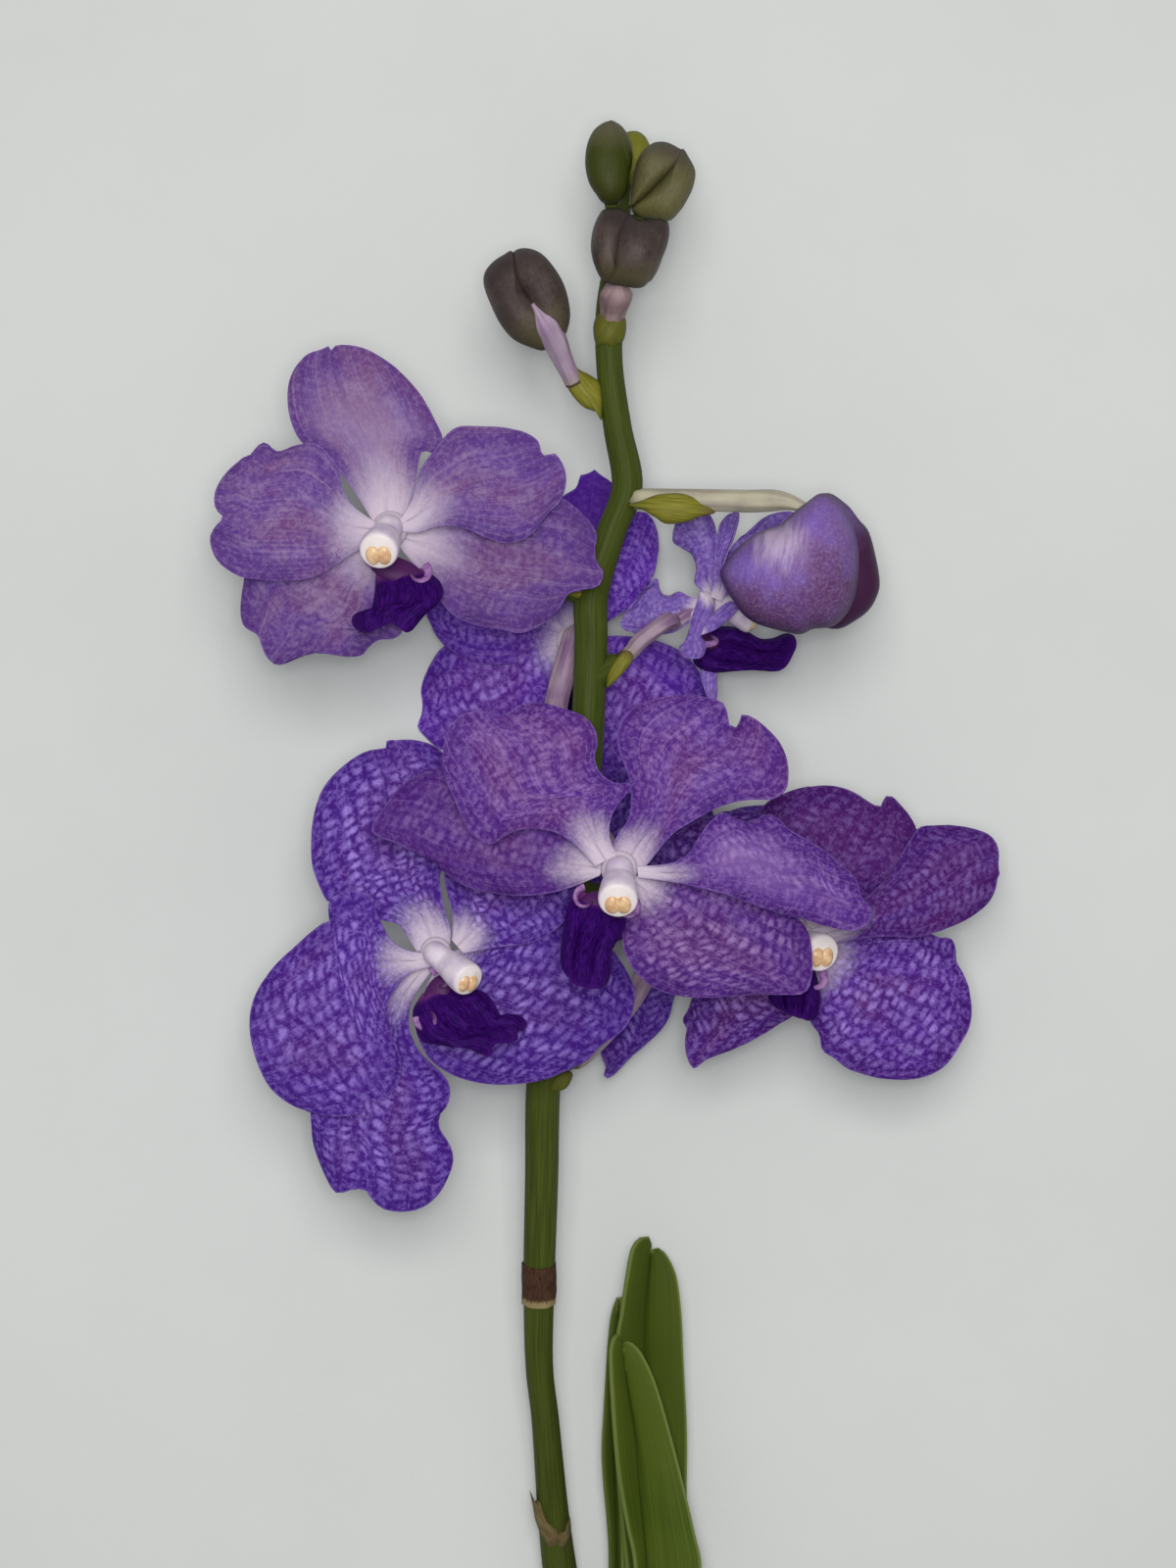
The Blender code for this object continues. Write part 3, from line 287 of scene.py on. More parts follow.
# Each petal's rim in the sheet, clockwise from its foot; a petal without one has the formula's.
RIMS = {
    "flower_a": {
        0: [(-48.1, 58.6), (-53.0, 66.5), (-58.5, 73.0), (-64.5, 77.0), (-67.2, 83.5), (-67.0, 90.7),
            (-63.5, 96.0), (-59.6, 97.6), (-58.5, 98.5), (-57.8, 97.2), (-56.0, 98.6), (-50.0, 97.7),
            (-43.6, 93.7), (-38.0, 88.0), (-34.2, 81.4), (-32.6, 77.2), (-34.0, 74.4), (-37.4, 74.4),
            (-38.8, 67.1), (-40.5, 62.0), (-42.7, 59.2)],
        1: [(-46.6, 55.5), (-52.0, 52.3), (-57.5, 48.6), (-62.5, 46.2), (-68.5, 45.6), (-73.9, 46.0),
            (-77.6, 46.4), (-80.8, 48.0), (-83.2, 50.2), (-84.6, 53.4), (-84.7, 56.0), (-83.3, 58.3),
            (-81.9, 59.9), (-83.6, 61.8), (-83.9, 64.6), (-82.8, 67.6), (-80.2, 70.9), (-77.0, 73.5),
            (-74.9, 74.1), (-74.0, 75.9), (-72.4, 76.7), (-71.0, 75.4), (-69.2, 74.6), (-65.5, 76.0),
            (-61.0, 76.4), (-58.1, 73.7), (-55.8, 70.1), (-55.2, 66.5), (-53.6, 63.4), (-51.3, 61.2),
            (-48.0, 59.0)],
        2: [(-42.0, 59.8), (-39.7, 63.4), (-38.6, 67.1), (-37.4, 71.0), (-34.8, 74.6), (-32.5, 77.6),
            (-29.3, 80.1), (-24.0, 80.3), (-18.5, 80.0), (-14.0, 78.8), (-11.2, 76.9), (-10.3, 74.0),
            (-8.9, 73.5), (-7.6, 74.3), (-5.9, 72.3), (-4.9, 69.3), (-5.2, 66.0), (-6.8, 62.8),
            (-9.4, 60.3), (-11.4, 57.4), (-14.5, 54.9), (-18.5, 54.1), (-23.0, 55.3), (-28.0, 57.5),
            (-33.5, 57.8), (-38.5, 56.4), (-42.5, 56.8)],
        3: [(-44.2, 54.9), (-43.4, 47.7), (-42.5, 40.4), (-41.5, 34.8), (-43.6, 32.6), (-46.8, 32.4),
            (-49.2, 30.8), (-50.8, 29.0), (-54.5, 28.6), (-60.5, 29.7), (-65.0, 28.8), (-67.4, 27.3),
            (-70.0, 26.8), (-72.0, 28.3), (-73.2, 30.8), (-74.2, 33.4), (-77.0, 35.2), (-77.9, 38.0),
            (-77.8, 41.5), (-77.3, 45.0), (-76.5, 48.0), (-72.0, 51.0), (-65.0, 53.5), (-57.5, 54.8),
            (-49.6, 56.4)],
        4: [(-42.4, 57.2), (-33.9, 60.0), (-25.4, 63.0), (-16.3, 64.6), (-10.2, 64.8), (-6.0, 64.2),
            (-2.6, 62.0), (0.3, 59.0), (1.9, 56.0), (1.5, 52.5), (2.0, 49.6), (3.4, 47.6), (2.8, 44.9),
            (0.7, 44.0), (-2.6, 43.7), (-4.6, 42.4), (-6.6, 39.2), (-10.2, 35.8), (-15.1, 33.9),
            (-19.3, 34.7), (-24.2, 35.5), (-29.0, 37.1), (-32.0, 39.6), (-34.4, 43.4), (-37.2, 47.2),
            (-40.2, 50.6), (-42.8, 53.8)],
    },
    "flower_b": {
        0: [(-5.0, 34.0), (-9.5, 43.0), (-11.5, 52.0), (-10.5, 59.5), (-5.9, 64.3), (-3.4, 66.0),
            (-1.9, 67.2), (-1.8, 69.0), (0.0, 69.3), (1.5, 70.1), (2.7, 69.0), (5.2, 67.4), (8.0, 64.0),
            (9.5, 57.0), (7.5, 48.0), (3.5, 40.0), (-0.5, 34.0)],
        1: [(-1.5, 34.0), (1.5, 43.0), (3.5, 50.0), (6.0, 56.5), (9.5, 60.6), (12.6, 61.0), (14.3, 59.6),
            (15.4, 57.0), (15.8, 53.8), (15.5, 50.2), (14.5, 46.5), (12.4, 42.9), (9.7, 39.9), (5.2, 37.0),
            (0.5, 33.6)],
        2: [(-5.5, 30.5), (-14.0, 27.5), (-24.0, 27.0), (-30.0, 29.5), (-33.6, 32.6), (-35.2, 35.8),
            (-36.3, 39.2), (-33.0, 42.0), (-27.0, 45.0), (-19.0, 46.5), (-11.0, 45.0), (-6.0, 41.5),
            (-4.0, 35.0)],
        3: [(-3.5, 29.0), (-6.5, 24.0), (-9.1, 18.7), (-12.0, 12.0), (-19.0, 8.5), (-27.0, 8.0),
            (-32.7, 7.8), (-36.4, 10.6), (-38.1, 12.9), (-37.3, 15.4), (-37.0, 18.1), (-37.3, 21.1),
            (-36.4, 24.7), (-34.5, 28.4), (-32.2, 31.0), (-27.0, 34.0), (-20.0, 35.8), (-12.0, 35.6),
            (-5.0, 33.4)],
        4: [(-2.0, 32.5), (6.0, 33.3), (14.0, 32.5), (20.5, 30.0), (24.0, 26.5), (26.5, 21.5),
            (27.0, 16.0), (23.5, 9.0), (17.0, 3.5), (9.0, 0.0), (3.0, 1.5), (0.0, 10.0), (-2.5, 25.0)],
    },
    "flower_c": {
        0: [(26.2, 41.5), (25.4, 43.5), (23.9, 45.2), (24.4, 48.5), (23.1, 51.7), (19.2, 54.3),
            (19.5, 57.9), (20.5, 61.0), (24.0, 62.0), (27.0, 60.8), (28.7, 57.2), (29.5, 52.0),
            (29.8, 47.0), (29.5, 42.0)],
        1: [(27.4, 42.0), (28.4, 50.0), (29.4, 57.2), (30.8, 60.0), (33.3, 61.0), (34.0, 60.0),
            (32.7, 55.5), (30.6, 49.9), (30.2, 46.9), (31.5, 44.0), (30.0, 41.0)],
        2: [(24.5, 37.5), (19.0, 34.0), (12.0, 33.6), (7.4, 35.4), (8.8, 39.0), (12.0, 42.6), (14.6, 45.8),
            (15.6, 45.9), (16.4, 43.0), (18.2, 42.2), (20.4, 43.2), (22.6, 42.2), (25.0, 41.4)],
        3: [(27.1, 41.6), (28.2, 39.3), (26.4, 36.7), (25.3, 33.8), (26.4, 31.2), (25.7, 28.6),
            (23.5, 28.1), (21.3, 28.6), (20.5, 30.8), (22.0, 32.3), (23.1, 35.2), (23.8, 38.2),
            (24.6, 41.1), (25.3, 43.3)],
        4: [(28.0, 43.0), (32.2, 53.0), (36.4, 57.0), (39.6, 59.8), (43.0, 61.0), (46.5, 60.6),
            (45.0, 56.0), (40.0, 50.0), (34.0, 44.5), (29.0, 40.5)],
        5: [(28.4, 38.0), (28.8, 31.0), (28.9, 25.6), (28.4, 21.5), (28.9, 19.0), (27.4, 18.6),
            (26.4, 20.5), (25.4, 24.0), (25.0, 31.0), (25.4, 38.0)],
        6: [(24.6, 34.4), (26.5, 36.6), (29.5, 39.4), (32.2, 41.0), (33.9, 39.6), (31.0, 36.6),
            (28.0, 34.4), (25.4, 33.4)],
    },
    "flower_e": {
        0: [(6.5, -18.0), (5.5, -14.9), (6.8, -11.1), (9.0, -8.0), (9.7, -4.2), (9.6, 0.0), (8.1, 4.3),
            (6.7, 8.2), (6.8, 12.0), (8.3, 15.3), (11.0, 17.6), (15.0, 19.2), (20.0, 19.9), (25.5, 19.6),
            (30.0, 18.4), (31.3, 16.0), (31.6, 13.5), (33.0, 12.6), (34.1, 13.4), (34.2, 15.4),
            (36.6, 15.2), (39.6, 13.0), (42.6, 9.8), (44.5, 6.0), (45.0, 2.0), (44.4, -1.4), (41.7, -3.4),
            (37.7, -3.5), (33.1, -4.0), (28.5, -5.5), (24.2, -8.0), (19.2, -11.1), (15.8, -14.9),
            (13.4, -18.0), (10.5, -20.0)],
        1: [(1.6, -18.4), (-2.6, -14.0), (-7.3, -10.9), (-12.8, -10.0), (-17.4, -11.0), (-21.8, -13.7),
            (-24.2, -12.6), (-26.5, -10.8), (-28.6, -7.0), (-30.2, -2.9), (-31.9, 0.6), (-32.6, 5.2),
            (-32.2, 9.4), (-30.8, 13.2), (-28.0, 15.7), (-24.1, 16.4), (-20.1, 15.3), (-17.4, 16.3),
            (-14.7, 17.9), (-10.6, 18.3), (-5.9, 17.1), (-1.2, 15.3), (1.4, 12.6), (2.2, 9.2), (1.5, 5.9),
            (2.8, 2.5), (6.0, 0.2), (9.6, 0.2), (9.3, -1.6), (6.9, -4.3), (5.2, -7.6), (4.8, -11.7),
            (6.4, -16.0)],
        2: [(11.0, -18.4), (15.5, -18.2), (19.6, -17.4), (22.7, -15.5), (25.0, -11.8), (26.9, -8.9),
            (28.4, -7.6), (30.0, -6.1), (31.8, -7.1), (34.6, -8.4), (37.4, -8.3), (39.6, -6.9),
            (41.9, -7.2), (44.2, -9.6), (47.7, -11.8), (53.1, -14.9), (57.7, -18.8), (60.4, -21.8),
            (61.4, -25.6), (63.5, -28.0), (63.1, -31.0), (60.8, -32.6), (57.7, -32.8), (53.1, -31.8),
            (48.5, -30.3), (42.3, -28.8), (36.2, -26.8), (30.0, -24.5), (23.8, -23.0), (17.7, -21.9),
            (11.3, -21.0)],
        3: [(2.6, -20.6), (-3.8, -23.2), (-8.5, -24.5), (-14.6, -25.1), (-20.8, -24.5), (-26.2, -23.4),
            (-30.8, -21.1), (-33.4, -18.2), (-38.5, -15.7), (-43.8, -13.0), (-48.0, -11.4), (-48.6, -9.6),
            (-47.3, -7.3), (-45.1, -4.4), (-43.0, -1.6), (-40.1, 0.9), (-36.6, 2.5), (-32.6, 3.4),
            (-27.0, 3.0), (-20.0, 0.0), (-12.0, -5.0), (-5.0, -10.0), (0.0, -14.0), (4.0, -17.4)],
        4: [(11.0, -20.6), (19.2, -20.6), (26.9, -21.1), (34.6, -23.4), (42.3, -27.0), (47.2, -30.2),
            (49.4, -33.4), (50.3, -38.6), (50.1, -44.0), (48.4, -47.0), (43.5, -47.3), (37.2, -47.2),
            (27.7, -48.0), (19.7, -47.4), (14.3, -45.4), (10.4, -42.0), (8.0, -37.0), (8.0, -31.0),
            (9.0, -26.0), (7.4, -22.0)],
    },
    "flower_f": {
        0: [(-38.4, -37.6), (-40.9, -33.7), (-42.7, -31.5), (-46.6, -30.5), (-50.5, -28.6), (-54.6, -26.8),
            (-58.2, -26.6), (-60.3, -23.0), (-61.8, -18.7), (-62.1, -14.4), (-61.9, -9.4), (-60.9, -4.4),
            (-58.7, 0.2), (-55.3, 3.7), (-51.6, 6.4), (-48.4, 7.7), (-45.8, 7.9), (-45.0, 8.8),
            (-45.3, 10.2), (-43.8, 9.8), (-40.1, 10.0), (-36.6, 9.3), (-33.0, 7.4), (-29.4, 2.7),
            (-28.0, -4.4), (-29.4, -12.3), (-32.0, -18.0), (-33.3, -20.5), (-32.9, -24.5), (-32.3, -28.0),
            (-30.9, -32.3), (-31.0, -36.0)],
        1: [(-35.0, -41.0), (-40.1, -42.6), (-43.6, -46.4), (-45.2, -50.5), (-44.6, -55.2), (-42.5, -60.2),
            (-41.9, -65.0), (-43.6, -68.8), (-47.1, -72.2), (-51.7, -74.1), (-57.4, -74.6), (-62.8, -73.5),
            (-67.4, -71.5), (-71.5, -68.0), (-74.1, -63.0), (-75.7, -57.3), (-75.9, -52.3), (-74.9, -48.0),
            (-73.0, -44.4), (-70.1, -40.5), (-65.9, -36.6), (-62.3, -33.4), (-59.4, -31.2), (-56.8, -30.0),
            (-58.2, -26.6), (-55.7, -24.5), (-52.3, -23.9), (-49.4, -25.0), (-47.8, -28.2), (-46.2, -31.4),
            (-44.4, -34.8), (-41.0, -37.2), (-37.4, -37.9)],
        2: [(-30.6, -35.0), (-30.4, -29.4), (-31.4, -25.1), (-32.2, -21.6), (-32.0, -18.0), (-30.0, -12.0),
            (-24.0, -6.0), (-16.0, -3.0), (-8.0, -4.0), (-2.0, -9.0), (0.0, -17.0), (-2.0, -25.0),
            (-6.0, -31.5), (-12.5, -35.6), (-20.0, -36.6), (-28.0, -38.0)],
        3: [(-35.0, -42.0), (-37.6, -45.5), (-39.8, -49.4), (-40.2, -54.4), (-38.7, -58.7), (-36.4, -61.7),
            (-33.7, -64.1), (-31.8, -66.2), (-30.9, -69.0), (-31.7, -72.3), (-33.3, -74.4), (-33.4, -77.3),
            (-31.6, -80.1), (-30.5, -82.6), (-30.4, -85.3), (-31.6, -88.7), (-33.7, -92.3), (-37.3, -95.1),
            (-41.6, -96.0), (-45.9, -95.4), (-48.4, -93.4), (-49.9, -91.2), (-52.6, -91.0), (-56.0, -91.9),
            (-57.7, -90.4), (-59.8, -85.9), (-61.6, -80.9), (-62.1, -76.6), (-62.2, -72.0), (-60.0, -65.0),
            (-54.0, -57.0), (-48.0, -50.0), (-43.0, -44.5), (-38.0, -40.2)],
        4: [(-31.0, -38.0), (-22.0, -34.0), (-12.0, -31.0), (-3.0, -31.0), (3.0, -34.5), (7.5, -40.0),
            (10.2, -45.7), (10.2, -50.1), (8.8, -54.2), (5.9, -56.8), (2.7, -58.9), (0.2, -61.7),
            (-2.3, -63.1), (-6.6, -65.1), (-10.9, -66.6), (-15.9, -67.3), (-21.6, -67.4), (-26.6, -66.6),
            (-30.9, -65.1), (-35.1, -62.3), (-37.4, -58.7), (-38.6, -55.1), (-38.4, -51.6), (-37.0, -47.0),
            (-34.6, -42.0)],
    },
    "flower_g": {
        0: [(45.6, -33.0), (41.0, -24.0), (38.0, -15.0), (37.6, -8.5), (40.0, -4.3), (43.9, -2.2),
            (47.7, -0.9), (52.9, -0.4), (56.8, -0.8), (60.0, -2.0), (62.9, -3.9), (65.6, -5.1),
            (66.7, -2.9), (68.2, -2.8), (70.0, -4.6), (72.0, -7.0), (73.6, -9.8), (74.2, -12.8),
            (73.9, -16.7), (72.6, -19.9), (69.7, -22.4), (64.5, -24.2), (60.4, -27.2), (56.0, -30.6),
            (50.0, -34.0)],
        1: [(49.0, -33.2), (56.0, -30.0), (61.9, -26.0), (67.0, -21.0), (71.3, -14.1), (74.2, -9.9),
            (77.8, -9.3), (82.6, -9.4), (86.5, -10.1), (90.0, -11.4), (91.9, -13.8), (92.3, -16.7),
            (92.0, -18.7), (92.7, -19.5), (92.0, -20.9), (91.4, -23.8), (89.5, -27.0), (85.8, -29.9),
            (81.9, -31.9), (77.4, -33.5), (73.4, -34.4), (68.0, -34.2), (62.0, -34.6), (56.0, -35.8),
            (49.4, -36.6)],
        2: [(46.0, -37.0), (38.0, -36.0), (28.0, -32.0), (19.0, -26.0), (15.4, -19.0), (17.0, -13.5),
            (22.6, -9.3), (26.0, -7.7), (28.4, -7.4), (30.4, -6.2), (33.5, -6.3), (36.4, -6.0),
            (39.4, -7.0), (43.0, -11.0), (46.0, -19.0), (48.4, -30.0)],
        3: [(50.0, -35.2), (57.0, -34.6), (63.0, -34.2), (69.0, -33.2), (74.0, -32.6), (77.0, -33.6),
            (79.0, -34.5), (81.3, -34.6), (82.4, -36.7), (82.7, -39.9), (84.5, -43.0), (85.7, -47.0),
            (86.1, -50.9), (85.5, -54.8), (83.8, -58.0), (81.9, -61.2), (79.4, -63.8), (75.5, -65.7),
            (71.0, -66.4), (65.8, -66.1), (61.9, -65.1), (58.1, -63.8), (55.3, -61.6), (52.7, -59.8),
            (51.9, -56.1), (49.8, -53.0), (50.2, -48.3), (49.9, -43.2), (48.4, -38.4)],
        4: [(48.2, -38.0), (49.0, -43.0), (48.6, -48.0), (46.1, -51.9), (42.9, -53.8), (39.4, -56.1),
            (34.8, -58.6), (30.3, -60.3), (26.5, -61.9), (23.8, -63.9), (22.3, -61.5), (21.8, -58.0),
            (22.2, -55.0), (21.3, -53.0), (22.6, -50.4), (24.0, -47.0), (29.0, -41.6), (37.0, -38.0),
            (45.0, -36.2)],
    },
    "flower_h": {
        0: [(22.4, -32.0), (22.0, -40.0), (19.6, -47.0), (17.9, -53.0), (14.5, -57.0), (11.0, -59.9),
            (7.9, -62.7), (6.0, -65.0), (4.6, -66.1), (3.5, -65.2), (4.1, -63.6), (3.1, -61.2),
            (2.9, -58.4), (5.4, -55.0), (8.2, -52.4), (9.7, -48.3), (10.5, -42.0), (14.0, -36.0),
            (17.8, -31.0)],
    },
}

LIP_RIMS = {
    "flower_a": [(-37.0, 48.0), (-34.0, 46.0), (-32.7, 43.7), (-33.2, 41.5), (-36.3, 38.6), (-40.5, 34.3),
        (-42.4, 35.2), (-44.2, 36.2), (-47.2, 34.9), (-50.2, 34.2), (-52.4, 35.2), (-52.7, 37.4),
        (-50.8, 38.4), (-49.0, 38.0), (-48.1, 41.0), (-47.6, 44.0), (-47.4, 47.0)],
    "flower_c": [(25.3, 34.9), (31.5, 35.2), (35.2, 34.1), (38.1, 32.3), (41.1, 32.3), (44.0, 33.4),
        (46.2, 33.0), (46.6, 30.5), (44.0, 26.1), (41.1, 25.7), (35.2, 26.4), (28.6, 25.3), (24.2, 26.8),
        (23.8, 31.0)],
    "flower_e": [(8.5, -28.0), (8.3, -31.5), (7.2, -34.0), (4.8, -38.0), (4.8, -42.6), (3.1, -45.7),
        (-0.8, -45.7), (-3.8, -44.2), (-5.8, -39.5), (-5.4, -33.4), (-4.4, -27.2), (-1.5, -24.6)],
    "flower_f": [(-32.3, -45.4), (-24.4, -46.6), (-21.6, -48.7), (-19.4, -52.3), (-17.3, -51.9),
        (-15.1, -52.1), (-13.9, -53.7), (-14.8, -55.1), (-16.6, -55.5), (-16.0, -56.9), (-16.9, -58.0),
        (-20.9, -58.4), (-21.9, -60.9), (-23.7, -60.5), (-28.0, -58.4), (-33.7, -58.0), (-37.3, -57.3),
        (-38.7, -54.4), (-39.1, -50.9), (-37.0, -47.5)],
    "flower_g": [(50.5, -41.0), (51.5, -45.0), (52.0, -49.0), (51.0, -52.3), (48.5, -52.8), (45.0, -51.5),
        (42.0, -49.4), (40.6, -47.6), (41.0, -45.0), (44.0, -42.0), (46.0, -40.5)],
}

BUDS = {
    "opening_bud": Bud((52.0, 65.0, 12.5), (46.0, 34.0, 12.5), [
        Lobe([(46.9, 61.6), (49.3, 63.4), (51.3, 64.9), (52.9, 65.3), (54.6, 64.9), (57.5, 62.3),
              (59.6, 58.0), (60.8, 53.0), (61.0, 48.0), (60.2, 42.5), (58.2, 38.3), (55.0, 35.4),
              (50.6, 34.8), (47.7, 33.6), (44.0, 34.2), (38.1, 35.9), (34.8, 38.1), (32.6, 41.1),
              (30.8, 44.0), (29.6, 46.9), (30.4, 49.1), (32.3, 51.7), (35.2, 54.6), (38.9, 56.8),
              (42.5, 57.9), (44.7, 59.5)], 15.5, 1.5),
        Lobe([(52.9, 65.2), (57.9, 62.9), (60.8, 59.4), (63.1, 56.5), (64.7, 50.6), (65.5, 45.5),
              (65.0, 42.5), (63.2, 39.2), (60.1, 36.7), (56.1, 34.8), (52.0, 36.0), (48.0, 42.0),
              (47.0, 50.0), (48.0, 58.0)], 7.0, -5.0, 0.75),
    ]),
    "bud_1": Bud((-8.0, 98.6, 6.4), (-18.0, 119.6, 7.6), [
        Lobe([(-13.7, 120.3), (-10.8, 119.3), (-8.4, 117.0), (-6.0, 113.4), (-4.7, 110.0), (-4.0, 106.0),
              (-4.3, 103.0), (-5.4, 100.5), (-8.2, 100.0), (-10.6, 103.0), (-13.6, 108.0), (-17.0, 113.5),
              (-17.6, 117.5), (-16.3, 119.8)], 8.4, 0.2),
        Lobe([(-17.0, 119.6), (-16.0, 116.4), (-14.0, 111.6), (-11.0, 107.0), (-8.2, 102.6), (-8.0, 99.3),
              (-10.0, 97.3), (-13.5, 98.2), (-17.0, 100.0), (-19.8, 103.4), (-21.8, 107.5), (-23.3, 111.5),
              (-23.3, 114.5), (-21.6, 117.0), (-19.0, 118.8)], 8.0, 0.0),
    ]),
    "bud_2": Bud((7.8, 111.6, 11.5), (9.5, 128.6, 12.0), [
        Lobe([(9.4, 127.9), (7.2, 126.8), (5.9, 124.0), (5.6, 120.0), (5.2, 116.0), (4.6, 112.6),
              (8.0, 111.7), (12.0, 111.4), (14.2, 113.6), (15.6, 117.0), (16.6, 121.0), (16.6, 125.0),
              (14.0, 126.5), (11.4, 126.8)], 8.6, 0.4),
        Lobe([(3.6, 129.0), (6.8, 129.3), (9.5, 127.8), (9.0, 125.0), (7.5, 120.0), (6.8, 115.0),
              (6.6, 112.4), (3.4, 113.0), (1.6, 116.0), (0.7, 119.5), (0.8, 123.0), (1.6, 126.0),
              (2.6, 128.0)], 7.4, 0.0),
        Lobe([(12.0, 126.6), (17.3, 126.6), (18.3, 124.3), (17.8, 121.0), (16.6, 117.8), (15.4, 114.8),
              (13.6, 112.6), (11.0, 113.0), (10.0, 118.0), (10.4, 123.0)], 7.4, -0.8),
    ]),
    "bud_3": Bud((12.6, 127.0, 1.0), (19.6, 143.8, 2.0), [
        Lobe([(14.0, 143.6), (17.0, 144.2), (20.0, 143.0), (21.8, 141.2), (19.0, 137.6), (15.0, 133.6),
              (11.6, 130.6), (9.3, 129.4), (9.3, 132.0), (10.0, 136.0), (11.4, 140.6)], 6.4, 0.0),
        Lobe([(21.0, 142.6), (22.8, 140.4), (24.1, 137.5), (23.6, 134.0), (22.2, 131.0), (20.8, 128.8),
              (18.2, 126.4), (14.0, 126.7), (11.0, 127.5), (9.9, 129.3), (12.4, 131.8), (15.4, 134.8),
              (18.6, 138.6)], 6.6, 0.0),
    ]),
    "bud_4": Bud((5.2, 130.2, 3.5), (5.4, 148.4, 3.0), [
        Lobe([(4.5, 148.8), (6.6, 147.8), (8.2, 145.0), (9.0, 142.0), (9.4, 138.5), (9.2, 135.5),
              (8.4, 132.2), (6.0, 130.0), (3.4, 130.4), (1.7, 132.5), (0.2, 135.0), (-0.6, 138.5),
              (-0.5, 142.0), (0.3, 145.0), (1.8, 147.3)], 5.4, 0.2),
        Lobe([(4.6, 148.7), (7.2, 148.0), (9.0, 145.6), (9.9, 142.5), (9.9, 139.5), (9.0, 137.0),
              (6.0, 138.0), (5.0, 143.0)], 4.2, -0.4),
    ]),
    "bud_5": Bud((9.8, 134.0, -9.5), (11.2, 146.8, -9.5), [
        Lobe([(8.4, 146.2), (10.8, 146.6), (12.8, 145.4), (14.0, 142.8), (13.8, 140.0), (12.6, 137.0),
              (10.8, 134.6), (9.0, 134.4), (7.5, 137.0), (7.0, 141.0), (7.4, 144.6)], 4.1, 0.0),
    ]),
}
TIP_BUDS = ("bud_3", "bud_4", "bud_5")
BUD_STALKS = {                       # points, then the first and last radius
    "opening_bud_pedicel": ([(9.0, 64.0, 0.8), (18.0, 63.9, 2.4), (27.0, 63.7, 4.6), (36.0, 63.5, 7.0),
        (44.5, 63.4, 10.0), (52.0, 60.6, 12.5)], 2.3, 2.4),
    "bud_1_pedicel": ([(-3.7, 91.2, 4.0), (-5.7, 95.4, 6.0), (-7.6, 99.8, 9.8), (-9.8, 103.8, 12.6),
        (-12.3, 107.8, 13.2)], 1.9, 2.8),
    "bud_2_pedicel": ([(5.5, 105.0, 3.2), (5.9, 107.6, 5.4), (6.4, 110.0, 8.0),
        (7.0, 113.0, 11.0)], 2.6, 3.5),
}

LEAVES = {
    "leaf_1": Leaf(
        [(15.4, -191.0, -35.0), (15.0, -176.0, -34.5), (13.4, -150.0, -33.5), (12.8, -125.0, -32.0),
         (13.4, -112.0, -30.6), (14.1, -104.8, -30.0)],
        [(10.6, -191.0), (8.6, -176.0), (6.2, -150.0), (6.4, -126.0), (7.3, -119.4), (8.1, -113.3),
         (9.4, -105.6), (10.6, -102.8), (12.4, -101.5), (13.7, -102.0), (13.9, -104.6)],
        [(23.4, -191.0), (22.8, -176.0), (22.2, -160.0), (22.2, -146.0), (21.5, -130.7), (21.0, -119.4),
         (20.1, -111.6), (19.0, -108.2), (17.7, -105.9), (16.2, -104.4), (14.4, -104.7)],
        1.1, 0.22, 0.25),
    "leaf_2": Leaf(
        [(13.2, -194.0, -24.0), (13.0, -176.0, -24.5), (11.7, -159.8, -24.5), (10.7, -147.5, -24.3),
         (8.6, -134.6, -24.0), (7.7, -127.2, -23.5)],
        [(10.6, -194.0), (10.4, -176.0), (8.7, -166.6), (6.7, -154.8), (5.6, -143.0), (4.9, -131.8),
         (4.9, -126.9), (5.5, -124.5), (6.3, -123.4), (7.1, -124.4), (7.5, -126.8)],
        [(25.6, -194.0), (25.5, -176.0), (24.1, -168.8), (21.9, -159.3), (18.8, -146.9), (15.4, -135.1),
         (12.6, -128.7), (10.6, -126.0), (9.0, -125.1), (8.1, -125.4), (7.9, -127.0)],
        1.6, 0.3),
    "leaf_3": Leaf(
        [(5.6, -186.0, -35.5), (6.4, -176.0, -35.0), (6.0, -155.0, -34.0), (6.2, -135.0, -33.0),
         (7.0, -118.0, -31.5)],
        [(4.6, -186.0), (4.7, -170.0), (3.1, -152.5), (3.5, -140.2), (4.2, -128.4), (4.6, -123.4),
         (5.1, -119.4), (5.9, -116.5), (6.6, -115.2), (6.8, -117.6)],
        [(7.2, -186.0), (8.0, -176.0), (7.6, -155.0), (7.6, -135.0), (7.9, -120.0), (7.8, -116.0),
         (7.4, -115.0), (7.2, -117.6)],
        0.75, 2.5, 0.45),
}
LEAF_FEET = {
    "leaf_1": (12.0, -208.0, -33.0),
    "leaf_2": (10.0, -208.0, -28.5),
    "leaf_3": (5.0, -204.0, -34.0),
}

